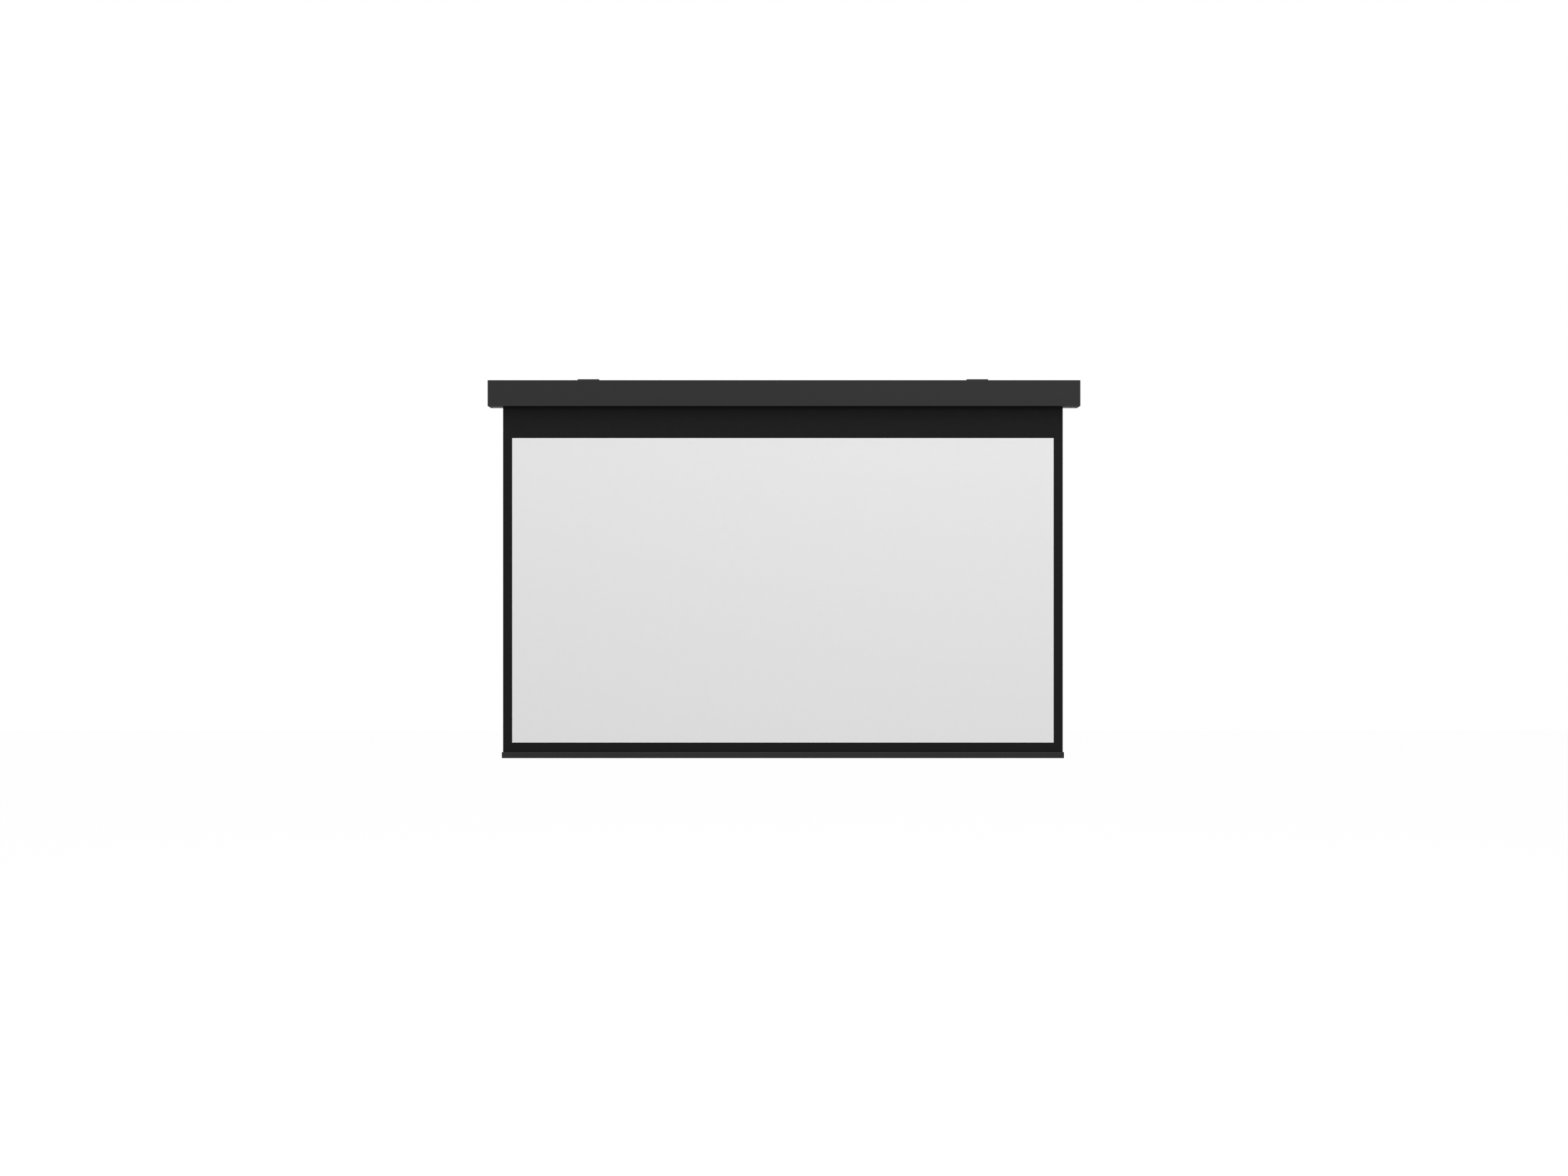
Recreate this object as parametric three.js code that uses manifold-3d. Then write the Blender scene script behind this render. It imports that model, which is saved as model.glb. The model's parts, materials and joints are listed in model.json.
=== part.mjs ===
// A motorized projector screen that hangs from a ceiling or a wall on two sliding brackets.
// A tubular motor turns a roller inside an extruded case, and the roller winds the fabric up or
// lets it down, with a weighted bar that keeps it taut. Millimetres, +Z up, X to the right seen
// from the front, +Y towards the wall. The origin is on the ceiling, above the case's middle.
import * as THREE from "three";
import { mergeVertices } from "three/addons/utils/BufferGeometryUtils.js";
import Module from "manifold-3d";

const wasm = await Module();
wasm.setup();

// Fabric: a white 16:9 picture with black borders
const viewWidth = 2214;
const viewHeight = 1245;
const sideBorder = 37.5;
const bottomBorder = 39;
const topDrop = 129;
const fabricThick = 0.5;

// Clearances
const seat = 0.3;
const runGap = 1;
const overrun = 2;

// Case: one extruded aluminium profile with a bracket channel on top and a fabric slot below
const caseWall = 2;
const caseCorner = 2;
const topLip = 12;
const channelHigh = 8;
const topRoom = 41;
const bottomRoom = 51;
const frontRoom = 24;
const rearRoom = 36.8;
const frontLip = 14;
const lipRise = 6;
const slotWide = 24;
const rearLip = 10;
const portRadius = 4.05;
const portBore = 2.05;
const portWeld = 0.85;
const portMouth = 0.6;
const screwRadius = 1.75;

// Roller: a grooved aluminium tube and the turns of fabric that stay on it
const tubeRadius = 30;
const tubeWall = 1.8;
const wrapPitch = 0.9;
const wrapTurns = 1 + 100 / 360;
const keyAngle = Math.PI * (1 - 2 * wrapTurns);
const keyBlock = 10;
const keyWide = 7;
const keyDeep = 3.5;
const keySlit = 3;
const keySkin = 1.3;
const tubeSpareLeft = 36.6;
const tubeSpareRight = 18;

// End fittings
const capThick = 3;
const pinRoom = 10.4;
const plateThick = 3;
const plateHalf = 30;
const plateNose = 22;
const flangeDeep = 30;
const boltBack = 16;
const boltSpread = 20;
const ringFlange = 3;
const bushFlange = 2.4;

// Motor
const motorRadius = 17.5;
const motorLong = 500;
const headLong = 30;
const headRadius = 21;
const studWide = 12;
const limitSpread = 8;
const limitRadius = 2.4;

// Terminal box on the inside of the rear wall
const boxDeep = 13.2;
const boxLong = 160;
const boxHigh = 27;
const boxFromEnd = 149;
const boxDrop = 9;
const boxWall = 1.5;
const leadRadius = 3;

// Bottom cover
const coverThick = 1.6;
const coverFlange = 12;
const coverScrewBack = 8;
const accessRadius = 4;
const capFootDeep = 12;

// Weight bar
const barHigh = 24;
const barDeep = 26;
const barProud = 3.5;
const barCorner = 1.5;
const barSlit = 2.5;
const barCap = 2;
const hemRadius = 4.5;
const hemDrop = 8.5;
const hemRod = 2;
const ballastWide = 18;
const ballastHigh = 7;
const ballastSkin = 2;

// Hanging brackets and their slide locks
const bracketThick = 3.5;
const bracketGap = 0.5;
const bracketWide = 87;
const bracketInset = 4;
const bracketSpan = 1588;
const bracketFlange = 70;
const bracketBend = 3;
const hookThick = 3;
const lockThick = 2.5;
const lockTravel = 9;

// Places that follow from the sizes above
const wrapEnd = tubeRadius + seat + fabricThick / 2 + wrapPitch * wrapTurns;
const fabricWidth = viewWidth + 2 * sideBorder;
const plateRoom = seat + plateThick + pinRoom + capThick;
const leftRoom = tubeSpareLeft + seat + ringFlange + runGap + bushFlange + plateRoom;
const rightRoom = tubeSpareRight + seat + ringFlange + runGap + headLong + plateRoom;
const caseEnd = (fabricWidth + leftRoom + rightRoom) / 2;
const caseDeep = frontRoom + wrapEnd + rearRoom + boxDeep + seat + caseWall;
const profileEnd = caseEnd - capThick - seat;
const fabricLeft = leftRoom - caseEnd;
const fabricRight = caseEnd - rightRoom;
const fabricMiddle = (fabricLeft + fabricRight) / 2;
const tubeLeft = fabricLeft - tubeSpareLeft;
const tubeRight = fabricRight + tubeSpareRight;
const caseFront = -caseDeep / 2;
const caseRear = caseDeep / 2;
const insideFront = caseFront + caseWall;
const insideRear = caseRear - caseWall;
const caseTop = -bracketThick - bracketGap;
const lipUnder = caseTop - caseWall;
const floorTop = lipUnder - channelHigh;
const floorUnder = floorTop - caseWall;
const rollerZ = floorUnder - topRoom;
const insideBottom = rollerZ - bottomRoom;
const caseBottom = insideBottom - caseWall;
const fabricY = caseFront + frontRoom;
const rollerY = fabricY + wrapEnd;
const slotFront = caseFront + frontLip;
const slotRear = slotFront + slotWide;
const coverTop = caseBottom + coverThick;
const tubeInside = tubeRadius - tubeWall;
const plateOuter = caseEnd - capThick - pinRoom;
const plateInner = plateOuter - plateThick;
const portBesideWall = portRadius - portWeld;
const rearPortLift = 2 * seat + coverThick + seat + portRadius;
const viewTop = caseBottom - topDrop;
const viewBottom = viewTop - viewHeight;
const barTop = viewBottom - bottomBorder;
const barBottom = barTop - barHigh;

// Faces round a circle and along a rounded corner
const tubeSteps = 48;
const screwSteps = 12;
const bushSteps = 24;
const cornerSteps = 4;
const mergeWithin = 1e-4;

const screenGroup = new THREE.Group();

const finish = (color, roughness, metalness) =>
  new THREE.MeshStandardMaterial({ color, roughness, metalness });
const blackPaint = finish(0x343434, 0.55, 0.1);
const blackPlastic = finish(0x2c2c2c, 0.6, 0);
const blackFabric = finish(0x161616, 0.9, 0);
const whiteFabric = finish(0xe9e9e9, 0.85, 0);
const blackSteel = finish(0x1f1f1f, 0.5, 0.4);
const zincSteel = finish(0xa9adb0, 0.4, 0.8);
const aluminium = finish(0xb8bcc0, 0.4, 0.85);
const brightSteel = finish(0x8d9296, 0.35, 0.9);
const greyPlastic = finish(0x8c8f91, 0.6, 0);
const whitePlastic = finish(0xdadad6, 0.6, 0);
const blackRubber = finish(0x1b1b1b, 0.85, 0);
const yellowPlastic = finish(0xd8b12c, 0.5, 0);

// A closed geometry as a solid that can be joined and cut
function solid(geometry) {
  const flat = geometry.index ? geometry.toNonIndexed() : geometry;
  const bare = new THREE.BufferGeometry().setAttribute("position", flat.getAttribute("position"));
  const merged = mergeVertices(bare, mergeWithin);
  const corners = merged.index.array;
  const kept = [];
  for (let i = 0; i < corners.length; i += 3) {
    const [a, b, c] = corners.slice(i, i + 3);
    if (a !== b && b !== c && c !== a) kept.push(a, b, c);
  }
  return new wasm.Manifold(
    new wasm.Mesh({
      numProp: 3,
      vertProperties: merged.attributes.position.array,
      triVerts: new Uint32Array(kept),
    }),
  );
}

const join = (...parts) => parts.reduce((whole, part) => whole.add(part));
const cut = (whole, ...parts) => parts.reduce((left, part) => left.subtract(part), whole);

// A finished solid as one named mesh of the screen
function place(name, body, material) {
  const { numProp, numVert, vertProperties, triVerts } = body.getMesh();
  const points = new Float32Array(numVert * 3);
  for (let i = 0; i < numVert; i += 1) {
    points.set(vertProperties.subarray(i * numProp, i * numProp + 3), i * 3);
  }
  const geometry = new THREE.BufferGeometry();
  geometry.setAttribute("position", new THREE.BufferAttribute(points, 3));
  geometry.setIndex(new THREE.BufferAttribute(triVerts, 1));
  const faceted = geometry.toNonIndexed();
  faceted.computeVertexNormals();
  const mesh = new THREE.Mesh(faceted, material);
  mesh.name = name;
  screenGroup.add(mesh);
}

// Points of an outline whose corners [across, up, radius] are rounded where they have a radius
function outline(corners) {
  return corners.flatMap(([across, up, radius], i) => {
    const corner = new THREE.Vector2(across, up);
    if (!radius) return [corner];
    const [beforeAcross, beforeUp] = corners.at(i - 1);
    const [afterAcross, afterUp] = corners[(i + 1) % corners.length];
    const before = new THREE.Vector2(beforeAcross, beforeUp).sub(corner).normalize();
    const after = new THREE.Vector2(afterAcross, afterUp).sub(corner).normalize();
    const half = Math.acos(before.dot(after)) / 2;
    const turn = (Math.PI - 2 * half) * Math.sign(before.cross(after));
    const towards = before.clone().add(after).normalize();
    const centre = towards.multiplyScalar(radius / Math.sin(half)).add(corner);
    const first = before.multiplyScalar(radius / Math.tan(half)).add(corner);
    return Array.from({ length: cornerSteps + 1 }, (_, k) =>
      first.clone().rotateAround(centre, (-turn * k) / cornerSteps),
    );
  });
}

// Points round a circle, or along a part of it
function arc(across, up, radius, steps, from = 0, sweep = 2 * Math.PI) {
  const whole = Math.abs(sweep) >= 2 * Math.PI;
  return Array.from({ length: whole ? steps : steps + 1 }, (_, k) => {
    const angle = from + (sweep * k) / steps;
    return new THREE.Vector2(across + radius * Math.cos(angle), up + radius * Math.sin(angle));
  });
}

// A strip of even thickness along a path, as an outline
function strip(path, thick) {
  const sides = [[], []];
  path.forEach((point, i) => {
    const back = path[Math.max(i - 1, 0)];
    const ahead = path[Math.min(i + 1, path.length - 1)];
    const along = ahead.clone().sub(back).normalize();
    const out = new THREE.Vector2(-along.y, along.x).multiplyScalar(thick / 2);
    sides[0].push(point.clone().add(out));
    sides[1].push(point.clone().sub(out));
  });
  return [...sides[0], ...sides[1].reverse()];
}

function extruded(points, depth, holes = []) {
  const shape = new THREE.Shape(points);
  shape.holes = holes.map((hole) => new THREE.Path(hole));
  return new THREE.ExtrudeGeometry(shape, { depth, bevelEnabled: false });
}

const axisX = new THREE.Vector3(1, 0, 0);
const axisY = new THREE.Vector3(0, 1, 0);
const axisZ = new THREE.Vector3(0, 0, 1);
const sectionYZ = new THREE.Matrix4().makeBasis(axisY, axisZ, axisX);
const sectionXZ = new THREE.Matrix4().makeBasis(axisX, axisZ, axisY.clone().negate());

// A section drawn in Y and Z and drawn out along X, in X and Z along Y, or in X and Y along Z
function alongX(points, x0, x1, holes) {
  const geometry = extruded(points, Math.abs(x1 - x0), holes).applyMatrix4(sectionYZ);
  return solid(geometry.translate(Math.min(x0, x1), 0, 0));
}
function alongY(points, y0, y1, holes) {
  const geometry = extruded(points, Math.abs(y1 - y0), holes).applyMatrix4(sectionXZ);
  return solid(geometry.translate(0, Math.max(y0, y1), 0));
}
function alongZ(points, z0, z1, holes) {
  const geometry = extruded(points, Math.abs(z1 - z0), holes);
  return solid(geometry.translate(0, 0, Math.min(z0, z1)));
}

// A box between two opposite corners
function block(x0, x1, y0, y1, z0, z1) {
  return alongX(outline([[y0, z0], [y1, z0], [y1, z1], [y0, z1]]), x0, x1);
}

// A rounded slot's outline between two centres on one line across or up
function slotOutline(across0, up0, across1, up1, radius) {
  const angle = Math.atan2(up1 - up0, across1 - across0);
  const ends = screwSteps / 2;
  return [
    ...arc(across1, up1, radius, ends, angle - Math.PI / 2, Math.PI),
    ...arc(across0, up0, radius, ends, angle + Math.PI / 2, Math.PI),
  ];
}

// A turned piece: its profile is a list of [distance along the axis, radius]
function turned(profile, steps) {
  const points = profile.map(([along, radius]) => new THREE.Vector2(radius, along));
  return new THREE.LatheGeometry(points, steps);
}
function turnedX(profile, x, y, z, steps = screwSteps, inward = 1) {
  return solid(turned(profile, steps).rotateZ((-inward * Math.PI) / 2).translate(x, y, z));
}
function turnedY(profile, x, y, z, steps = screwSteps) {
  return solid(turned(profile, steps).translate(x, y, z));
}
function turnedZ(profile, x, y, z, steps = screwSteps) {
  return solid(turned(profile, steps).rotateX(Math.PI / 2).translate(x, y, z));
}

// Case: the profile's wall in one outline, then its four open screw ports
const ports = [
  [insideFront + portBesideWall, insideBottom + portBesideWall, Math.PI / 4],
  [insideFront + portBesideWall, floorUnder - portBesideWall, -Math.PI / 4],
  [insideRear - portBesideWall, floorUnder - portBesideWall, (-3 * Math.PI) / 4],
  [insideRear - portBesideWall, insideBottom + rearPortLift, Math.PI],
];
const boltPlaces = [-1, 1].flatMap((side) =>
  [-1, 1].map((back) => [side * (plateOuter - boltBack), rollerY + back * boltSpread]),
);
const boxRight = caseEnd - boxFromEnd;
const grommetHole = 7;
const grommetRim = 2.5;
const grommetFromBox = 27;
const grommetX = boxRight + grommetFromBox;
const grommetZ = -bracketFlange - grommetHole - 2 * grommetRim;

function caseProfile() {
  const wall = alongX(
    outline([
      [slotFront, caseBottom],
      [caseFront, caseBottom, caseCorner],
      [caseFront, caseTop, caseCorner],
      [caseFront + topLip, caseTop],
      [caseFront + topLip, lipUnder],
      [insideFront, lipUnder],
      [insideFront, floorTop],
      [insideRear, floorTop],
      [insideRear, lipUnder],
      [caseRear - topLip, lipUnder],
      [caseRear - topLip, caseTop],
      [caseRear, caseTop, caseCorner],
      [caseRear, caseBottom, caseCorner],
      [caseRear - rearLip, caseBottom],
      [caseRear - rearLip, insideBottom],
      [insideRear, insideBottom],
      [insideRear, floorUnder],
      [insideFront, floorUnder],
      [insideFront, insideBottom],
      [slotFront - caseWall, insideBottom],
      [slotFront - caseWall, insideBottom + lipRise],
      [slotFront, insideBottom + lipRise],
    ]),
    -profileEnd,
    profileEnd,
  );
  const bosses = ports.map(([y, z, facing]) => {
    const sweep = 2 * Math.PI - 2 * portMouth;
    const outer = arc(y, z, portRadius, screwSteps, facing + portMouth, sweep);
    const inner = arc(y, z, portBore, screwSteps, facing + portMouth, sweep).reverse();
    return alongX([...outer, ...inner], -profileEnd, profileEnd);
  });
  const boltHoles = boltPlaces.map(([x, y]) =>
    alongZ(arc(x, y, portBore, screwSteps), floorTop + overrun, floorUnder - overrun),
  );
  const leadHole = alongY(
    arc(grommetX, grommetZ, grommetHole, bushSteps),
    insideRear - overrun,
    caseRear + overrun,
  );
  place("case_profile", cut(join(wall, ...bosses), ...boltHoles, leadHole), blackPaint);
}

// Bottom cover: bent sheet with a stiffening flange at the slot and a step that lies on the rear lip
const coverScrewX = caseEnd - capThick - capFootDeep / 2;
const coverScrewY = rollerY + coverScrewBack;
const headMiddle = plateInner - seat - headLong / 2;
const coverHook = caseRear - rearLip - 2 * seat;

function bottomCover() {
  const hookUnder = insideBottom + seat;
  const sheet = alongX(
    outline([
      [slotRear, caseBottom],
      [coverHook, caseBottom],
      [coverHook, hookUnder],
      [insideRear - seat, hookUnder],
      [insideRear - seat, hookUnder + coverThick],
      [coverHook - coverThick, hookUnder + coverThick],
      [coverHook - coverThick, coverTop],
      [slotRear + coverThick, coverTop],
      [slotRear + coverThick, coverTop + coverFlange],
      [slotRear, coverTop + coverFlange],
    ]),
    -profileEnd,
    profileEnd,
  );
  const through = (x, y, radius) =>
    alongZ(arc(x, y, radius, screwSteps), caseBottom - overrun, coverTop + overrun);
  const holes = [
    through(coverScrewX, coverScrewY, portBore),
    through(-coverScrewX, coverScrewY, portBore),
    through(headMiddle, rollerY - limitSpread, accessRadius),
    through(headMiddle, rollerY + limitSpread, accessRadius),
  ];
  place("bottom_cover", cut(sheet, ...holes), blackPaint);
}

// End caps: a plate flush with the case and sunk a little inside its screws, with locating ribs
// behind it and a foot that the cover screws to
const capRib = 8;
const capRibThick = 2;
const capRibShare = 0.3;
const capFootHigh = 3.6;
const capFootHalf = 15;
const capPanelInset = 11;
const capPanelDeep = 0.8;
const capPanelCorner = 4;
const sinkRadius = 3.7;
const sinkDeep = 2;
const screwLong = 18;

function endCap(side, name) {
  const inner = side * (caseEnd - capThick);
  const plate = alongX(
    outline([
      [caseFront, caseBottom, caseCorner],
      [caseRear, caseBottom, caseCorner],
      [caseRear, caseTop, caseCorner],
      [caseFront, caseTop, caseCorner],
    ]),
    inner,
    side * caseEnd,
  );
  const ribInner = inner - side * capRib;
  const ribIn = inner + (side * capThick) / 2;
  const ribHalf = (floorUnder - insideBottom) * capRibShare;
  const ribLow = rollerZ - ribHalf;
  const ribHigh = rollerZ + ribHalf;
  const ribFront = insideFront + seat;
  const ribRear = insideRear - seat;
  const ribTop = floorUnder - seat;
  const ribs = [
    block(ribInner, ribIn, ribFront, ribFront + capRibThick, ribLow, ribHigh),
    block(ribInner, ribIn, ribRear - capRibThick, ribRear, ribLow, ribHigh),
    block(ribInner, ribIn, rollerY - ribHalf, rollerY + ribHalf, ribTop - capRibThick, ribTop),
  ];
  const foot = block(
    inner - side * capFootDeep,
    ribIn,
    coverScrewY - capFootHalf,
    coverScrewY + capFootHalf,
    coverTop + seat,
    coverTop + seat + capFootHigh,
  );
  const bore = alongZ(
    arc(side * coverScrewX, coverScrewY, portBore, screwSteps),
    coverTop - overrun,
    coverTop + seat + capFootHigh + overrun,
  );
  const panelFront = caseFront + capPanelInset;
  const panelRear = caseRear - capPanelInset;
  const panelLow = caseBottom + capPanelInset;
  const panelHigh = caseTop - capPanelInset;
  const panel = alongX(
    outline([
      [panelFront, panelLow, capPanelCorner],
      [panelRear, panelLow, capPanelCorner],
      [panelRear, panelHigh, capPanelCorner],
      [panelFront, panelHigh, capPanelCorner],
    ]),
    side * (caseEnd - capPanelDeep),
    side * (caseEnd + overrun),
  );
  const sinks = ports.map(([y, z]) =>
    turnedX(
      [[-overrun, 0], [-overrun, sinkRadius + seat], [0, sinkRadius + seat], [sinkDeep, portBore],
        [capThick + overrun, portBore], [capThick + overrun, 0]],
      side * caseEnd, y, z, screwSteps, -side,
    ),
  );
  place(name, cut(join(plate, ...ribs, foot), panel, bore, ...sinks), blackPlastic);
}

function endCapScrews(side, name) {
  ports.forEach(([y, z], i) => {
    const screw = turnedX(
      [[0, 0], [0, sinkRadius], [sinkDeep, screwRadius], [screwLong - screwRadius, screwRadius],
        [screwLong, screwRadius / 2], [screwLong, 0]],
      side * caseEnd, y, z, screwSteps, -side,
    );
    place(name + "_" + (i + 1), screw, blackSteel);
  });
}

// Pan-head screws that point up through the cover or down through the channel's floor
const panRadius = 3.6;
const panHigh = 2.2;
const panDome = 1.2;

const panScrew = (long) => [
  [-seat - panHigh, 0],
  [-seat - panHigh, panRadius - panDome],
  [-seat - panHigh + panDome, panRadius],
  [-seat, panRadius],
  [-seat, screwRadius],
  [long - screwRadius, screwRadius],
  [long, screwRadius / 2],
  [long, 0],
];

function coverScrew(side, name) {
  const long = coverThick + seat + capFootHigh + overrun;
  place(name, turnedZ(panScrew(long), side * coverScrewX, coverScrewY, caseBottom), blackSteel);
}

function bracketScrews() {
  const long = caseWall + seat + plateThick + overrun;
  const names = ["idle_screw_front", "idle_screw_rear", "motor_screw_front", "motor_screw_rear"];
  boltPlaces.forEach(([x, y], i) => {
    const down = turned(panScrew(long), screwSteps).rotateX(-Math.PI / 2).translate(x, y, floorTop);
    place(names[i], solid(down), zincSteel);
  });
}

// Inner brackets: a bent plate screwed under the channel's floor at each end of the roller
function rollerPlate(side, name, hole) {
  const top = floorUnder - seat;
  const nose = arc(rollerY, rollerZ, plateNose, 2 * cornerSteps, 0, -Math.PI);
  const plate = alongX(
    [
      new THREE.Vector2(rollerY - plateHalf, top),
      new THREE.Vector2(rollerY + plateHalf, top),
      ...nose,
    ],
    side * plateInner,
    side * plateOuter,
  );
  const flange = block(
    side * (plateOuter - flangeDeep),
    side * plateOuter,
    rollerY - plateHalf,
    rollerY + plateHalf,
    top - plateThick,
    top,
  );
  const bores = boltPlaces
    .filter(([x]) => Math.sign(x) === side)
    .map(([x, y]) => alongZ(arc(x, y, portBore, screwSteps), top + overrun, top - plateThick - overrun));
  place(name, cut(join(plate, flange), hole, ...bores), zincSteel);
}

// Motor: gearmotor tube, fixed head with a square stud, and the clip through the stud
const shaftRadius = 5;
const shaftFlat = 4;
const shaftNose = 12;
const noseLong = 8;
const shaftIn = 10;
const shaftOut = 34;
const studLong = 9;
const clipRadius = 1;
const clipReach = 11;
const clipBack = 4.5;
const headRim = 27;
const headRimLong = 4;
const headChamfer = 2;
const limitDeep = 12;
const limitProud = 1.5;
const socketRadius = 1.45;
const socketSides = 6;
const socketDeep = 3;
const leadLift = 8;
const leadBore = 5;
const headRight = plateInner - seat;
const headLeft = headRight - headLong;
const motorLeft = headLeft - seat - motorLong;
const studEnd = plateOuter + studLong;
const clipX = plateOuter + clipBack;

function motor() {
  const tube = turnedX(
    [[motorLeft + shaftIn, 0], [motorLeft + shaftIn, shaftRadius + seat],
      [motorLeft - noseLong, shaftRadius + seat], [motorLeft - noseLong, shaftNose], [motorLeft, shaftNose],
      [motorLeft, motorRadius], [headLeft - seat, motorRadius], [headLeft - seat, 0]],
    0, rollerY, rollerZ, bushSteps,
  );
  place("motor_tube", tube, aluminium);

  const head = turnedX(
    [[headLeft, 0], [headLeft, headRim], [headLeft + headRimLong, headRim],
      [headLeft + headRimLong, headRadius], [headRight - headChamfer, headRadius],
      [headRight, headRadius - headChamfer], [headRight, 0]],
    0, rollerY, rollerZ, tubeSteps,
  );
  const half = studWide / 2;
  const stud = block(
    headRight - overrun, studEnd, rollerY - half, rollerY + half, rollerZ - half, rollerZ + half,
  );
  const clipHole = alongY(
    arc(clipX, rollerZ, clipRadius + seat, screwSteps),
    rollerY - studWide,
    rollerY + studWide,
  );
  const limitBores = [-1, 1].map((back) =>
    alongZ(
      arc(headMiddle, rollerY + back * limitSpread, limitRadius + seat, screwSteps),
      rollerZ - headRadius - overrun,
      rollerZ - headRadius + limitDeep + seat,
    ),
  );
  const leadHole = alongY(
    arc(headMiddle, rollerZ + leadLift, leadRadius + seat, screwSteps),
    rollerY + headRadius - leadBore,
    rollerY + headRadius + overrun,
  );
  place("motor_head", cut(join(head, stud), clipHole, leadHole, ...limitBores), blackPlastic);

  const hairpin = new THREE.CurvePath();
  const far = rollerY - clipReach;
  const near = rollerY + clipReach;
  const under = rollerZ - half - 2 * clipRadius;
  const bend = (rollerZ - under) / 2;
  const pinPoint = (y, z) => new THREE.Vector3(clipX, y, z);
  hairpin.add(new THREE.LineCurve3(pinPoint(far, rollerZ), pinPoint(near, rollerZ)));
  hairpin.add(
    new THREE.CubicBezierCurve3(
      pinPoint(near, rollerZ),
      pinPoint(near + bend, rollerZ),
      pinPoint(near + bend, under),
      pinPoint(near, under),
    ),
  );
  hairpin.add(new THREE.LineCurve3(pinPoint(near, under), pinPoint(far, under)));
  place("motor_clip", wire(hairpin, clipRadius, screwSteps / 2, tubeSteps / 2), brightSteel);

  ["limit_screw_up", "limit_screw_down"].forEach((name, i) => {
    const y = rollerY + (2 * i - 1) * limitSpread;
    const foot = rollerZ - headRadius - limitProud + seat;
    const screw = turnedZ(
      [[0, 0], [0, limitRadius], [limitDeep, limitRadius], [limitDeep, 0]],
      headMiddle, y, foot,
    );
    const socket = arc(headMiddle, y, socketRadius, socketSides);
    const sunk = cut(screw, alongZ(socket, foot - overrun, foot + socketDeep));
    place(name, sunk, i ? whitePlastic : yellowPlastic);
  });
}

// A round wire or cable along a curve
function wire(curve, radius, sides, steps) {
  const section = new THREE.Shape(arc(0, 0, radius, sides));
  return solid(new THREE.ExtrudeGeometry(section, { extrudePath: curve, steps }));
}

// Roller: the grooved tube, its end fittings, the spline that grips the fabric, and its first turns
const keyOut = new THREE.Vector2(Math.cos(keyAngle), Math.sin(keyAngle));
const keyAcross = new THREE.Vector2(-keyOut.y, keyOut.x);
const keyPoint = (across, out) =>
  new THREE.Vector2(rollerY, rollerZ).addScaledVector(keyAcross, across).addScaledVector(keyOut, out);
const keyFloor = tubeInside - keyDeep;
const keyBottom = keyFloor - keySkin;

function rollerTube() {
  const around = (radius, halfWide) => {
    const part = Math.asin(halfWide / radius);
    return arc(rollerY, rollerZ, radius, tubeSteps, keyAngle + part, 2 * Math.PI - 2 * part);
  };
  const skin = [
    ...around(tubeRadius, keySlit / 2),
    keyPoint(-keySlit / 2, tubeInside),
    keyPoint(-keyWide / 2, tubeInside),
    keyPoint(-keyWide / 2, keyFloor),
    keyPoint(keyWide / 2, keyFloor),
    keyPoint(keyWide / 2, tubeInside),
    keyPoint(keySlit / 2, tubeInside),
  ];
  const inside = [
    ...around(tubeInside, keyBlock / 2),
    keyPoint(-keyBlock / 2, keyBottom),
    keyPoint(keyBlock / 2, keyBottom),
  ];
  place("roller_tube", alongX(skin, tubeLeft, tubeRight, [inside]), aluminium);
}

// The notch that a fitting needs to clear the groove's block inside the tube
function keyNotch(x0, x1) {
  const half = keyBlock / 2 + seat;
  const notch = [
    keyPoint(-half, keyBottom - seat),
    keyPoint(half, keyBottom - seat),
    keyPoint(half, tubeInside + overrun),
    keyPoint(-half, tubeInside + overrun),
  ];
  return alongX(notch, x0, x1);
}

const crownLong = 20;
const wheelLong = 22;
const wheelWeb = 5;
const wheelRim = 3;
const wheelHub = 6;
const wheelTeeth = 8;
const toothHigh = 1.2;
const plugLong = 30;
const plugWall = 3;
const pinRadius = 6;
const pinIn = 34;
const pinHead = 9;
const pinHeadLong = 3;
const pinChamfer = 1;
const pinProud = 4;
const bushWall = 3;
const bushRim = 12;
const bushProud = 2;

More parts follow.
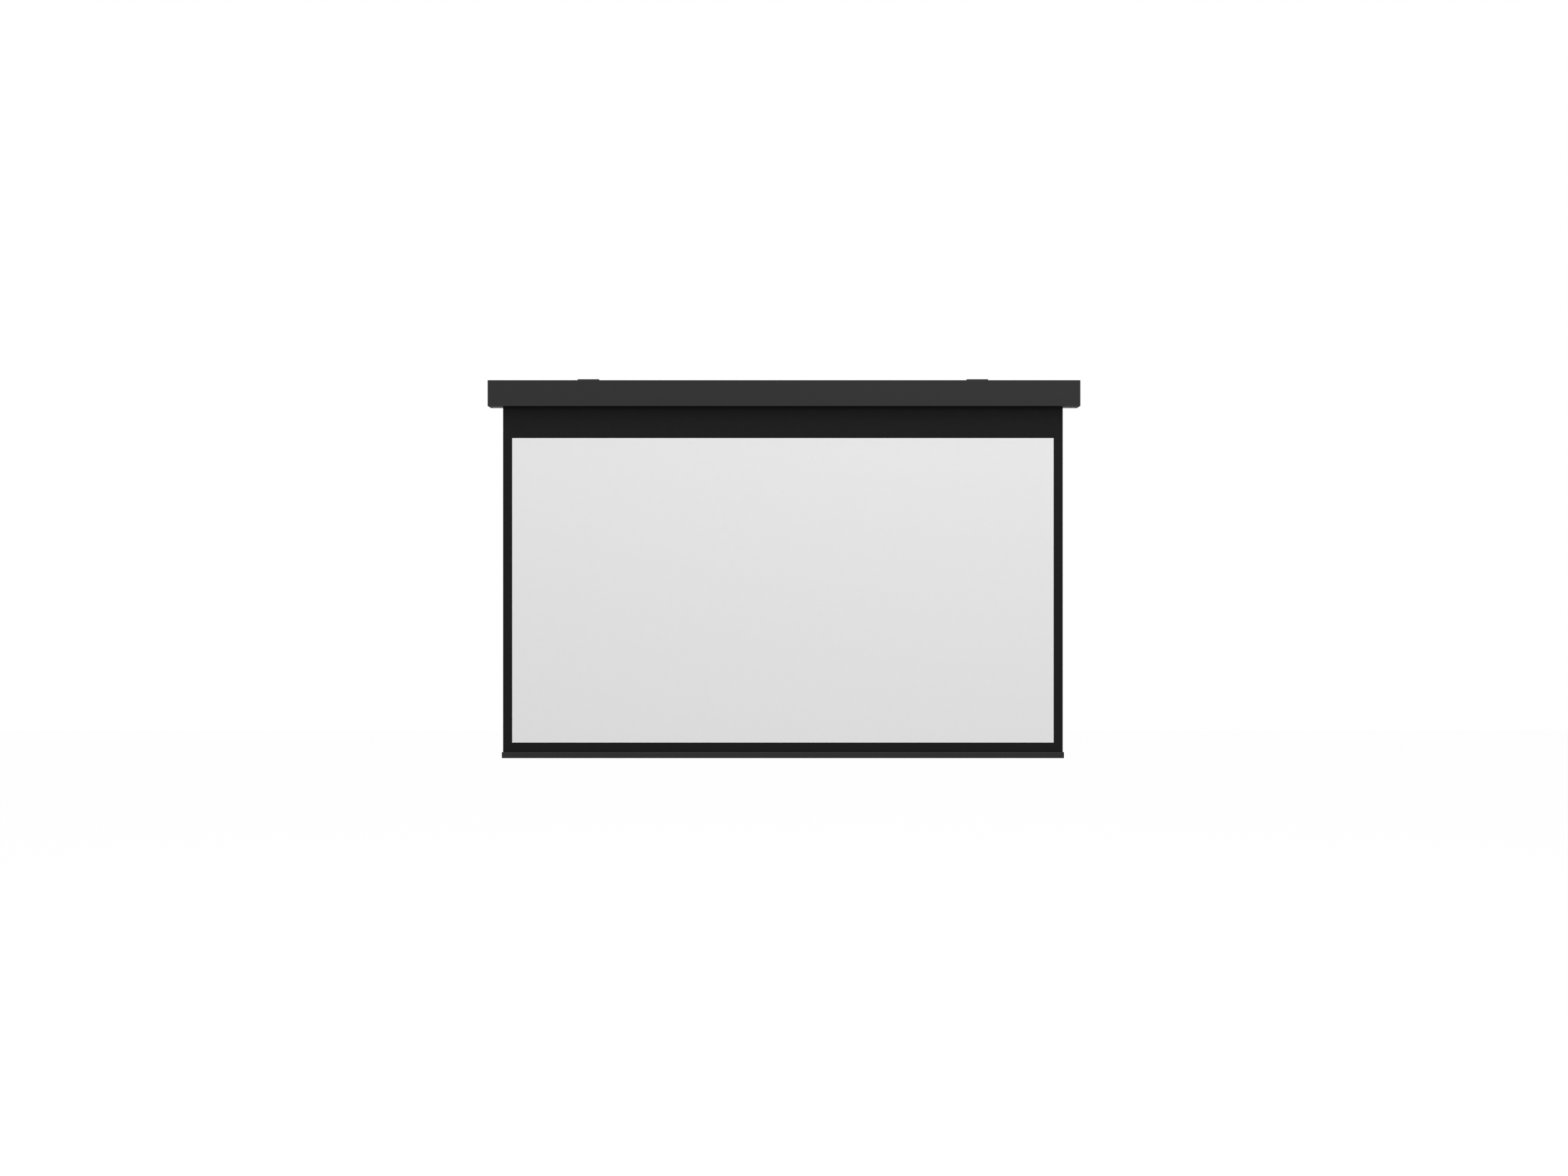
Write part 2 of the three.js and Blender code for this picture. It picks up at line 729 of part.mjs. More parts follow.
function rollerFittings() {
  const fit = tubeInside - seat;
  const flangeRight = tubeRight + seat;
  const bearing = motorRadius + seat;
  const crown = turnedX(
    [[tubeRight - crownLong, bearing], [tubeRight - crownLong, fit], [flangeRight, fit],
      [flangeRight, tubeRadius], [flangeRight + ringFlange, tubeRadius], [flangeRight + ringFlange, bearing],
      [tubeRight - crownLong, bearing]],
    0, rollerY, rollerZ, tubeSteps,
  );
  place("crown_ring", cut(crown, keyNotch(tubeRight - crownLong - overrun, flangeRight)), blackPlastic);

  const wheelRight = motorLeft - noseLong - runGap;
  const wheelLeft = wheelRight - wheelLong;
  const webLeft = wheelLeft + (wheelLong - wheelWeb) / 2;
  const hub = shaftRadius + wheelHub;
  const rimIn = fit - wheelRim - toothHigh;
  const wheel = turnedX(
    [[wheelLeft, 0], [wheelLeft, hub], [webLeft, hub], [webLeft, rimIn], [wheelLeft, rimIn],
      [wheelLeft, fit - toothHigh], [wheelRight, fit - toothHigh], [wheelRight, rimIn],
      [webLeft + wheelWeb, rimIn], [webLeft + wheelWeb, hub], [wheelRight, hub], [wheelRight, 0]],
    0, rollerY, rollerZ, tubeSteps,
  );
  const pitch = (2 * Math.PI) / wheelTeeth;
  const ribs = Array.from({ length: wheelTeeth - 1 }, (_, k) => {
    const middle = keyAngle + pitch * (k + 1);
    const outer = arc(rollerY, rollerZ, fit, cornerSteps, middle - pitch / 6, pitch / 3);
    const inner = arc(rollerY, rollerZ, rimIn + toothHigh, cornerSteps, middle + pitch / 4, -pitch / 2);
    return alongX([...outer, ...inner], wheelLeft, wheelRight);
  });
  const dBore = (radius, flat, x0, x1) => {
    const open = Math.acos(flat / radius);
    return alongX(arc(rollerY, rollerZ, radius, bushSteps, open, 2 * Math.PI - 2 * open), x0, x1);
  };
  place(
    "drive_wheel",
    cut(
      join(wheel, ...ribs),
      keyNotch(wheelLeft - overrun, wheelRight + overrun),
      dBore(shaftRadius + seat, shaftFlat + seat, wheelLeft - overrun, wheelRight + overrun),
    ),
    greyPlastic,
  );
  const shaftRight = motorLeft + shaftIn - seat;
  const shaftLeft = shaftRight - shaftIn - shaftOut;
  place("output_shaft", dBore(shaftRadius, shaftFlat, shaftLeft, shaftRight), brightSteel);

  const flangeLeft = tubeLeft - seat - ringFlange;
  const plugRight = tubeLeft + plugLong;
  const bore = pinRadius + seat;
  const plug = turnedX(
    [[flangeLeft, bore], [flangeLeft, tubeRadius], [tubeLeft - seat, tubeRadius], [tubeLeft - seat, fit],
      [plugRight, fit], [plugRight, fit - plugWall], [tubeLeft + ringFlange, fit - plugWall],
      [tubeLeft + ringFlange, bore + plugWall], [plugRight, bore + plugWall], [plugRight, bore],
      [flangeLeft, bore]],
    0, rollerY, rollerZ, tubeSteps,
  );
  place("idle_plug", cut(plug, keyNotch(tubeLeft - seat, plugRight + overrun)), blackPlastic);

  const pinLeft = -plateOuter - pinProud;
  const headAt = plugRight + seat;
  const pin = turnedX(
    [[pinLeft, 0], [pinLeft, pinRadius - pinChamfer], [pinLeft + pinChamfer, pinRadius], [headAt, pinRadius],
      [headAt, pinHead], [headAt + pinHeadLong, pinHead], [headAt + pinHeadLong, 0]],
    0, rollerY, rollerZ, bushSteps,
  );
  place("idle_pin", pin, brightSteel);

  const rimLeft = -plateInner + seat;
  const bushLeft = -plateOuter - bushProud;
  const bush = turnedX(
    [[bushLeft, bore], [bushLeft, bore + bushWall], [rimLeft, bore + bushWall], [rimLeft, bushRim],
      [rimLeft + bushFlange, bushRim], [rimLeft + bushFlange, bore], [bushLeft, bore]],
    0, rollerY, rollerZ, bushSteps,
  );
  place("idle_bearing", bush, whitePlastic);
}

const splineThick = 1.8;
const splineWide = 6;

function fabricOnRoller() {
  const spline = [
    keyPoint(-splineWide / 2, keyFloor + seat),
    keyPoint(splineWide / 2, keyFloor + seat),
    keyPoint(splineWide / 2, keyFloor + seat + splineThick),
    keyPoint(-splineWide / 2, keyFloor + seat + splineThick),
  ];
  place("fabric_spline", alongX(spline, fabricLeft, fabricRight), greyPlastic);

  const first = tubeRadius + seat + fabricThick / 2;
  const turns = Math.ceil(tubeSteps * wrapTurns);
  const leg = [
    keyPoint(0, keyFloor + seat + splineThick + seat),
    keyPoint(0, first),
  ];
  const endAngle = Math.PI;
  const spiral = Array.from({ length: turns }, (_, k) => {
    const share = (k + 1) / turns;
    const angle = endAngle - 2 * Math.PI * wrapTurns * (1 - share);
    const radius = first + wrapPitch * wrapTurns * share;
    return new THREE.Vector2(rollerY + radius * Math.cos(angle), rollerZ + radius * Math.sin(angle));
  });
  const sheet = strip([...leg, ...spiral], fabricThick);
  place("fabric_wraps", alongX(sheet, fabricLeft, fabricRight), blackFabric);
}

// Wiring inside the case: terminal box with its lid and block, motor lead, and a sealed grommet
const leadCornerShare = 0.55;
const blockLong = 60;
const blockHigh = 15;
const blockDeep = 7;
const blockWays = 4;
const poleRadius = 2;
const poleDeep = 3;
const lidThick = 2;
const grommetThick = 1.5;
const grommetDimple = 3;

function wiring() {
  const back = insideRear - seat;
  const front = back - boxDeep + lidThick + seat;
  const top = floorUnder - boxDrop;
  const bottom = top - boxHigh;
  const left = boxRight - boxLong;
  const middleY = (front + back) / 2;
  const middleZ = (top + bottom) / 2;
  const shell = cut(
    block(left, boxRight, front, back, bottom, top),
    block(
      left + boxWall, boxRight - boxWall, front - overrun, back - boxWall, bottom + boxWall, top - boxWall,
    ),
    alongX(
      arc(middleY, middleZ, leadRadius + seat, screwSteps),
      boxRight - boxWall - overrun,
      boxRight + overrun,
    ),
  );
  place("terminal_box", shell, blackPlastic);

  const lid = join(
    block(left, boxRight, front - seat - lidThick, front - seat, bottom, top),
    block(left + boxWall + seat, boxRight - boxWall - seat, front - lidThick / 2, front + lidThick,
      bottom + boxWall + seat, top - boxWall - seat),
  );
  const core = block(
    left + 2 * boxWall + seat, boxRight - 2 * boxWall - seat, front, front + lidThick + overrun,
    bottom + 2 * boxWall + seat, top - 2 * boxWall - seat,
  );
  place("terminal_lid", cut(lid, core), blackPlastic);

  const blockLeft = (left + boxRight - blockLong) / 2;
  const blockBack = back - boxWall - seat;
  const base = block(
    blockLeft, blockLeft + blockLong, blockBack - blockDeep, blockBack,
    middleZ - blockHigh / 2, middleZ + blockHigh / 2,
  );
  const poles = Array.from({ length: 2 * blockWays }, (_, k) => {
    const x = blockLeft + (blockLong * (Math.floor(k / 2) + 1 / 2)) / blockWays;
    const z = middleZ + ((k % 2 ? 1 : -1) * blockHigh) / 4;
    const face = blockBack - blockDeep;
    return alongY(arc(x, z, poleRadius, screwSteps / 2), face - overrun, face + poleDeep);
  });
  place("terminal_block", cut(base, ...poles), whitePlastic);

  const headY = rollerY + headRadius - leadBore + 2 * seat;
  const headZ = rollerZ + leadLift;
  const outX = headMiddle - headRadius;
  const turnY = headY + (middleY - headY) * leadCornerShare;
  const route = new THREE.CurvePath();
  const start = new THREE.Vector3(headMiddle, headY, headZ);
  const away = new THREE.Vector3(headMiddle, headY + leadBore, headZ);
  const level = new THREE.Vector3(outX, middleY, middleZ);
  route.add(new THREE.LineCurve3(start, away));
  route.add(
    new THREE.CubicBezierCurve3(
      away,
      new THREE.Vector3(headMiddle, turnY + leadBore, headZ),
      new THREE.Vector3(headMiddle - leadBore, middleY, middleZ),
      level,
    ),
  );
  const inBox = new THREE.Vector3(boxRight - boxWall - leadRadius, middleY, middleZ);
  route.add(new THREE.LineCurve3(level, inBox));
  place("motor_lead", wire(route, leadRadius, screwSteps - 2, bushSteps), blackRubber);

  const rim = grommetHole + grommetRim;
  const neck = grommetHole - seat;
  const innerFace = insideRear - seat;
  const outerFace = caseRear + seat;
  const grommet = turnedY(
    [[innerFace - grommetThick, 0], [innerFace - grommetThick, rim], [innerFace, rim], [innerFace, neck],
      [outerFace, neck], [outerFace, rim], [outerFace + grommetThick, rim - grommetThick / 2],
      [outerFace + grommetThick, grommetDimple], [innerFace, grommetDimple], [innerFace, 0]],
    grommetX, 0, grommetZ, bushSteps,
  );
  place("cable_grommet", grommet, blackRubber);
}

// Hanging fabric: black drop, white picture and black side borders, one sheet on the real object
function hangingFabric() {
  const front = fabricY - fabricThick / 2;
  const back = fabricY + fabricThick / 2;
  const hang = (name, x0, x1, top, bottom, material) =>
    place(name, block(x0, x1, front, back, bottom, top), material);
  const viewLeft = fabricLeft + sideBorder;
  const viewRight = fabricRight - sideBorder;
  hang("black_drop", fabricLeft, fabricRight, rollerZ - seat, viewTop + seat, blackFabric);
  hang("viewing_surface", viewLeft, viewRight, viewTop, viewBottom, whiteFabric);
  hang("mask_left", fabricLeft, viewLeft - seat, viewTop, viewBottom, blackFabric);
  hang("mask_right", viewRight + seat, fabricRight, viewTop, viewBottom, blackFabric);
}

// Weight bar: profile with a hem groove and a ballast chamber, its end caps, hem, rod and ballast
const barPlug = 12;
const barWeb = 1;

function weightBar() {
  const left = fabricLeft - barProud;
  const right = fabricRight + barProud;
  const barFront = fabricY - barDeep / 2;
  const barBack = fabricY + barDeep / 2;
  const hemZ = barTop - hemDrop;
  const chamberHalf = ballastWide / 2 + seat;
  const chamberBottom = barBottom + ballastSkin;
  const chamberTop = chamberBottom + ballastHigh + 2 * seat;
  const mouth = Math.asin(barSlit / 2 / hemRadius);
  const section = [
    ...outline([
      [barFront, barTop, barCorner],
      [barFront, barBottom, barCorner],
      [barBack, barBottom, barCorner],
      [barBack, barTop, barCorner],
    ]),
    new THREE.Vector2(fabricY + barSlit / 2, barTop),
    ...arc(fabricY, hemZ, hemRadius, bushSteps, Math.PI / 2 - mouth, 2 * mouth - 2 * Math.PI),
    new THREE.Vector2(fabricY - barSlit / 2, barTop),
  ];
  const chamber = outline([
    [fabricY - chamberHalf, chamberBottom],
    [fabricY + chamberHalf, chamberBottom],
    [fabricY + chamberHalf, chamberTop],
    [fabricY - chamberHalf, chamberTop],
  ]);
  const profileLeft = left + barCap + seat;
  const profileRight = right - barCap - seat;
  place("weight_bar_profile", alongX(section, profileLeft, profileRight, [chamber]), blackPaint);

  const plugIn = barPlug + barCap + seat;
  [["bar_end_cap_left", left, 1], ["bar_end_cap_right", right, -1]].forEach(([name, x, inward]) => {
    const plate = alongX(
      outline([
        [barFront, barTop, barCorner],
        [barFront, barBottom, barCorner],
        [barBack, barBottom, barCorner],
        [barBack, barTop, barCorner],
      ]),
      x,
      x + inward * barCap,
    );
    const plug = block(
      x + (inward * barCap) / 2, x + inward * plugIn,
      fabricY - chamberHalf + seat, fabricY + chamberHalf - seat, chamberBottom + seat, chamberTop - seat,
    );
    place(name, join(plate, plug), blackPlastic);
  });

  place(
    "ballast_bar",
    block(
      left + plugIn + seat, right - plugIn - seat,
      fabricY - ballastWide / 2, fabricY + ballastWide / 2,
      chamberBottom + seat, chamberBottom + seat + ballastHigh,
    ),
    brightSteel,
  );
  place("hem_rod", alongX(arc(fabricY, hemZ, hemRod, screwSteps), profileLeft, profileRight), brightSteel);

  const pocketIn = hemRod + seat;
  const pocketOut = pocketIn + fabricThick;
  const pocket = alongX(
    arc(fabricY, hemZ, pocketOut, screwSteps),
    fabricLeft,
    fabricRight,
    [arc(fabricY, hemZ, pocketIn, screwSteps)],
  );
  const hem = block(
    fabricLeft, fabricRight, fabricY - fabricThick / 2, fabricY + fabricThick / 2,
    hemZ + pocketIn + seat, viewBottom - seat,
  );
  place("mask_bottom", join(pocket, hem), blackFabric);
}

// Hanging bracket: a bent plate whose front hook sits under the case's front lip, with two shoulder
// rivets under it that carry a lock plate, which slides under the rear lip
const hookReach = 9.6;
const hookGap = 0.6;
const slotHalf = 4;
const slotRun = 6;
const slotAcrossShare = 0.3;
const ceilingSlotShare = 0.22;
const wallSlotShare = 0.6;
const rivetRadius = 2.5;
const rivetHead = 4.5;
const rivetHeadLong = 1.5;
const rivetShoulder = 4;
const rivetFront = 28;
const lockBite = 8.5;
const lockEar = 10;
const lockEarLong = 10;
const lockLong = 42.5;
const lockInset = 13.5;
const lockCorner = 2;

function hangingBracket(name, lockName, middle) {
  const half = bracketWide / 2;
  const flangeIn = caseRear + seat;
  const flangeOut = flangeIn + bracketThick;
  const under = -bracketThick;
  const hookTop = lipUnder - bracketGap;
  const hookFace = caseFront + topLip + hookGap;
  const hookTip = hookFace - hookReach;
  const bent = alongX(
    outline([
      [caseFront + bracketInset, 0],
      [flangeOut, 0, bracketBend],
      [flangeOut, -bracketFlange],
      [flangeIn, -bracketFlange],
      [flangeIn, under],
      [hookFace + hookThick, under],
      [hookFace + hookThick, hookTop - hookThick],
      [hookTip, hookTop - hookThick],
      [hookTip, hookTop],
      [hookFace, hookTop],
      [hookFace, under],
      [caseFront + bracketInset, under],
    ]),
    middle - half,
    middle + half,
  );
  const slots = [-1, 1].flatMap((side) => {
    const x = middle + side * bracketWide * slotAcrossShare;
    const y = -caseDeep * ceilingSlotShare + slotRun;
    const z = -bracketFlange * wallSlotShare;
    return [
      alongZ(slotOutline(x, y - slotRun, x, y + slotRun, slotHalf), overrun, under - overrun),
      alongY(
        slotOutline(x, z - slotRun, x, z + slotRun, slotHalf),
        flangeIn - overrun,
        flangeOut + overrun,
      ),
    ];
  });
  const lockTop = lipUnder - bracketGap;
  const lockUnder = lockTop - lockThick;
  const rivetY = caseRear - topLip - rivetFront + lockTravel;
  const rivetSide = half - lockInset - rivetHead - rivetShoulder;
  const rivets = [-1, 1].map((side) => {
    const neck = lockTop + seat;
    const head = lockUnder - seat;
    const profile = [
      [head - rivetHeadLong, 0], [head - rivetHeadLong, rivetHead], [head, rivetHead], [head, rivetRadius],
      [neck, rivetRadius], [neck, rivetShoulder], [under + bracketThick / 2, rivetShoulder],
      [under + bracketThick / 2, 0],
    ];
    return turnedZ(profile, middle + side * rivetSide, rivetY, 0);
  });
  place(name, join(cut(bent, ...slots), ...rivets), blackPaint);

  const lockRear = caseRear - topLip + lockBite;
  const lockFront = lockRear - lockLong;
  const narrow = half - lockInset;
  const wide = half + lockEar;
  const blade = alongZ(
    outline([
      [middle - wide, lockFront, lockCorner],
      [middle + wide, lockFront, lockCorner],
      [middle + wide, lockFront + lockEarLong, lockCorner],
      [middle + narrow, lockFront + lockEarLong],
      [middle + narrow, lockRear, lockCorner],
      [middle - narrow, lockRear, lockCorner],
      [middle - narrow, lockFront + lockEarLong],
      [middle - wide, lockFront + lockEarLong, lockCorner],
    ]),
    lockUnder,
    lockTop,
  );
  const runs = [-1, 1].map((side) => {
    const x = middle + side * rivetSide;
    return alongZ(
      slotOutline(x, rivetY, x, rivetY + lockTravel, rivetRadius + seat),
      lockUnder - overrun,
      lockTop + overrun,
    );
  });
  place(lockName, cut(blade, ...runs), zincSteel);
}

caseProfile();
bottomCover();
endCap(-1, "end_cap_left");
endCap(1, "end_cap_right");
endCapScrews(-1, "cap_screw_left");
endCapScrews(1, "cap_screw_right");
coverScrew(-1, "cover_screw_left");
coverScrew(1, "cover_screw_right");
bracketScrews();
const studHole = studWide / 2 + seat;
rollerPlate(
  1,
  "motor_bracket",
  block(plateInner - overrun, plateOuter + overrun, rollerY - studHole, rollerY + studHole,
    rollerZ - studHole, rollerZ + studHole),
);
rollerPlate(
  -1,
  "idle_bracket",
  alongX(
    arc(rollerY, rollerZ, pinRadius + seat + bushWall + seat, bushSteps),
    -plateInner + overrun,
    -plateOuter - overrun,
  ),
);
motor();
rollerTube();
rollerFittings();
fabricOnRoller();
wiring();
hangingFabric();
weightBar();
hangingBracket("bracket_left", "bracket_lock_left", fabricMiddle - bracketSpan / 2);
hangingBracket("bracket_right", "bracket_lock_right", fabricMiddle + bracketSpan / 2);

export default screenGroup;
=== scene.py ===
# %% [markdown]
# # A motorized projector screen, dressed in Blender
# The frame is a CAD model of a hanging projector screen: an extruded case, a roller with a motor
# inside it, a sheet of coated cloth, a weighted bar and two hanging brackets. In this lesson we
# put looks on that frame. Each cell makes one piece or one finish. Hard pieces whose shape is
# right keep it and only get soft edges, and cloth and small fasteners are modelled anew.

# %% Load the frame
import json
import math

import bmesh
import bpy
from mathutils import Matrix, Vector


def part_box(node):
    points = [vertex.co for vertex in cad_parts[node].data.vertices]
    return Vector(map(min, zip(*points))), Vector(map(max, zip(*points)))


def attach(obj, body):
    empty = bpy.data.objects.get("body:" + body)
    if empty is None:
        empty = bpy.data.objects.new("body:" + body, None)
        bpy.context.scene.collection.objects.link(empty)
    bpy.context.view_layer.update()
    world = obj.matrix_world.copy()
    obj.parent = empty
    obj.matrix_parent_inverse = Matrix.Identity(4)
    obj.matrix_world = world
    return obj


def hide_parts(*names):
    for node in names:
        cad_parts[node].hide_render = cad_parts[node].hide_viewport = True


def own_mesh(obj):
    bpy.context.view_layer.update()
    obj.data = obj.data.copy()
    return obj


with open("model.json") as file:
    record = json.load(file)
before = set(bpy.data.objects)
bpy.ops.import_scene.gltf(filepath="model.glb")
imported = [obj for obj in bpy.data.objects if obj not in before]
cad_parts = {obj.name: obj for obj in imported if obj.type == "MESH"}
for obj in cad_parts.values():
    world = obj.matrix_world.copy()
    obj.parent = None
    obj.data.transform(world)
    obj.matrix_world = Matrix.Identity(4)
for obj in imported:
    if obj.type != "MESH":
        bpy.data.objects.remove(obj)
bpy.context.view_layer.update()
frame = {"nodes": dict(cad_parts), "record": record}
nodes = frame["nodes"]
MM = 0.001

# %% [markdown]
# ## The camera
# The picture in the photograph is a true rectangle, so the camera looks straight along +Y. It
# could be fitted by eye, but the case tells its distance: the case's front face is a little nearer
# than the cloth and is drawn a little larger, which a 50 mm lens does from just under nine metres.
# The camera stands level with the middle of the frame, so a trace of the case's underside shows
# above the cloth.

# %% Camera
LENS = 50
SENSOR = 36
CAMERA_AT = (0, -8.936, -0.852)

bpy.ops.object.camera_add(location=CAMERA_AT, rotation=(math.pi / 2, 0, 0))
camera = bpy.context.object
camera.name = "photo_camera"
camera.data.lens = LENS
camera.data.sensor_width = SENSOR
bpy.context.scene.camera = camera
print("camera at", CAMERA_AT)

# %% [markdown]
# ## Nodes for light and finishes
# The world, the floor and every finish are trees of nodes. Each node could be set up line by line,
# but three helpers keep the trees readable: one adds a node with its values, one tells which kind
# of ray is asking, and one chooses between two shaders by that answer.


# %% Build a tree of nodes
def add_node(tree, kind, **settings):
    """Adds a node and sets its sockets and its options by name."""
    node = tree.nodes.new(kind)
    for key, value in settings.items():
        if key in node.inputs:
            node.inputs[key].default_value = value
        else:
            setattr(node, key, value)
    return node


def ray_is(tree, *kinds):
    """1 for a ray of any of these kinds, and 0 for the rest."""
    rays = add_node(tree, "ShaderNodeLightPath")
    found = rays.outputs[kinds[0]]
    for kind in kinds[1:]:
        either = add_node(tree, "ShaderNodeMath", operation="MAXIMUM")
        tree.links.new(found, either.inputs[0])
        tree.links.new(rays.outputs[kind], either.inputs[1])
        found = either.outputs[0]
    return found


def choose(tree, answer, if_not, if_so):
    """Takes one shader where the answer is 0 and the other where it is 1."""
    choice = add_node(tree, "ShaderNodeMixShader")
    tree.links.new(answer, choice.inputs["Fac"])
    tree.links.new(if_not.outputs[0], choice.inputs[1])
    tree.links.new(if_so.outputs[0], choice.inputs[2])
    return choice.outputs[0]


print("node helpers ready")

# %% [markdown]
# ## Light and background
# A black object on white needs care. A white wall behind it would light it and turn the black to
# grey. So the world has two strengths, chosen by the kind of ray: full white where the camera or
# a reflection sees it, and a soft grey where it only lights the surfaces. Large lamps do the
# rest. The main one stands high on the right, because the cloth is brightest there. The high one
# hangs far above, so that the case throws its long soft shadow down the cloth.

# %% World
AMBIENT = 0.45
WHITE = (1, 1, 1, 1)

scene = bpy.context.scene
scene.view_settings.view_transform = "Standard"
world = bpy.data.worlds.new("white_studio")
scene.world = world
world.use_nodes = True
tree = world.node_tree
tree.nodes.clear()
lighting = add_node(tree, "ShaderNodeBackground", Color=WHITE, Strength=AMBIENT)
backdrop = add_node(tree, "ShaderNodeBackground", Color=WHITE)
sees_backdrop = ray_is(tree, "Is Camera Ray", "Is Glossy Ray", "Is Transmission Ray")
world_out = add_node(tree, "ShaderNodeOutputWorld")
tree.links.new(choose(tree, sees_backdrop, lighting, backdrop), world_out.inputs["Surface"])
print("world lights at", AMBIENT, "and shows at 1")

# %% Lamps
LAMPS_FACE = (0, 0, -0.7)
# Place, side of the square in metres, power in watts
LAMPS = {
    "main_lamp": ((2.6, -5.2, 3.4), 3.2, 148),
    "side_lamp": ((-4.2, -5.0, 1.2), 3.0, 38),
    "high_lamp": ((0.4, -3.6, 10.0), 4.5, 940),
    "rear_lamp": ((-1.5, 5.0, 2.4), 3.0, 110),
}

for name, (place, side, power) in LAMPS.items():
    facing = (Vector(LAMPS_FACE) - Vector(place)).to_track_quat("-Z", "Y").to_euler()
    bpy.ops.object.light_add(type="AREA", location=place, rotation=facing)
    light = bpy.context.object
    light.name = name
    light.data.size = side
    light.data.energy = power
print(len(LAMPS), "lamps")

# %% [markdown]
# ## Helpers for modelling with operators
# An operator acts on what is selected, as it does by hand. It would be easy to forget what the
# last step left selected, so these helpers keep that in order: one empties the selection, one
# opens a piece in edit mode, one picks its parts by their place, and one puts the finished piece
# on its body in the frame.


# %% Select and edit
def only(piece):
    """Selects this piece and nothing else."""
    bpy.ops.object.select_all(action="DESELECT")
    piece.select_set(True)
    bpy.context.view_layer.objects.active = piece


def open_mesh(piece, kind="FACE"):
    """Opens a piece in edit mode with everything in it selected."""
    only(piece)
    bpy.ops.object.mode_set(mode="EDIT")
    bpy.ops.mesh.select_mode(type=kind)
    bpy.ops.mesh.select_all(action="SELECT")


def close_mesh():
    bpy.ops.object.mode_set(mode="OBJECT")


def pick(piece, parts, wanted):
    """Selects the wanted faces, edges or verts of an open piece."""
    bpy.ops.mesh.select_all(action="DESELECT")
    shape = bmesh.from_edit_mesh(piece.data)
    for part in getattr(shape, parts):
        if wanted(part):
            part.select_set(True)
    bmesh.update_edit_mesh(piece.data)


def merge_near(near):
    """Joins the points of the open piece that are nearer than this."""
    bpy.ops.mesh.select_all(action="SELECT")
    bpy.ops.mesh.remove_doubles(threshold=near)


def modify(piece, kind, **settings):
    """Adds a modifier, sets it and applies it."""
    only(piece)
    modifier = piece.modifiers.new(kind.lower(), kind)
    for key, value in settings.items():
        setattr(modifier, key, value)
    bpy.ops.object.modifier_apply(modifier=modifier.name)


def settle(piece):
    """Moves a piece's place and turn into its mesh."""
    only(piece)
    bpy.ops.object.transform_apply(location=True, rotation=True, scale=True)


def smooth(piece, degrees=35):
    """Shades as round where faces meet at less than this angle."""
    only(piece)
    bpy.ops.object.shade_smooth_by_angle(angle=math.radians(degrees))


print("modelling helpers ready")

# %% Put a piece on the frame
bodies = frame["record"]["behaviour"]["bodies"]
body_of_node = {node: body for body, held in bodies.items() for node in held}


def hand_over(piece, name, material, node):
    """Names a finished piece and lets it stand for the CAD node that it replaces."""
    piece.name = name
    piece.data.name = name
    if material:
        piece.data.materials.clear()
        piece.data.materials.append(material)
    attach(piece, body_of_node[node])
    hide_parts(node)


# %% [markdown]
# ## Helpers for finishes
# Real finishes vary from place to place: paint has a fine texture, plastic has grain, drawn metal
# has lines. One flat colour would look like a toy, and a photograph of paint would repeat. So each
# finish below is one Principled shader with noise at the real scale, in metres, that moves its
# colour a little, its roughness a little and its surface height by microns.


# %% Noise and bump
def new_finish(name):
    """An empty material, its tree and its Principled shader."""
    material = bpy.data.materials.new(name)
    material.use_nodes = True
    return material, material.node_tree, material.node_tree.nodes["Principled BSDF"]


def coordinates(tree, stretch=(1, 1, 1), source="Object"):
    """Where on the piece a point is, stretched along an axis for drawn or woven patterns."""
    place = add_node(tree, "ShaderNodeTexCoord")
    scaled = add_node(tree, "ShaderNodeMapping", Scale=stretch)
    tree.links.new(place.outputs[source], scaled.inputs["Vector"])
    return scaled.outputs["Vector"]


def noise(tree, where, scale, detail):
    """Soft spots, this many to the metre, with finer ones in them."""
    grain = add_node(tree, "ShaderNodeTexNoise", Scale=scale, Detail=detail)
    tree.links.new(where, grain.inputs["Vector"])
    return grain.outputs["Fac"]


def between(tree, value, low, high):
    """Maps a 0 to 1 value to a range."""
    spread = add_node(tree, "ShaderNodeMapRange")
    spread.inputs["To Min"].default_value = low
    spread.inputs["To Max"].default_value = high
    tree.links.new(value, spread.inputs["Value"])
    return spread.outputs["Result"]


def tint(tree, value, dark, light):
    """Mixes two colours by a 0 to 1 value."""
    mix = add_node(tree, "ShaderNodeMix", data_type="RGBA")
    mix.inputs[6].default_value = (*dark, 1)
    mix.inputs[7].default_value = (*light, 1)
    tree.links.new(value, mix.inputs["Factor"])
    return mix.outputs[2]


def raise_by(tree, shader, height, distance, strength):
    """Bump of a real height in metres."""
    bump = add_node(tree, "ShaderNodeBump", Strength=strength, Distance=distance)
    tree.links.new(height, bump.inputs["Height"])
    tree.links.new(bump.outputs["Normal"], shader.inputs["Normal"])


def grey(value):
    """A colour without a hue."""
    return (value, value, value)


print("finish helpers ready")

# %% [markdown]
# ## Painted and moulded finishes
# The case and the bar are extruded aluminium under a black powder coat. A powder coat flows into
# a fine orange peel about a millimetre across, and it is never quite black. The end caps are
# moulded plastic with an eroded grain, finer and duller than the paint. Both textures could be
# modelled, but at a tenth of a millimetre high a bump looks the same and costs nothing.


# %% Powder coat and plastic
PEEL = 1300
PEEL_HIGH = 0.12 * MM
PAINT_PATCH = 14
PAINT_ROUGH = (0.5, 0.6)
GRAIN = 1800
GRAIN_HIGH = 0.1 * MM
PLASTIC_FLOW = 25
PLASTIC_SPREAD = 0.05


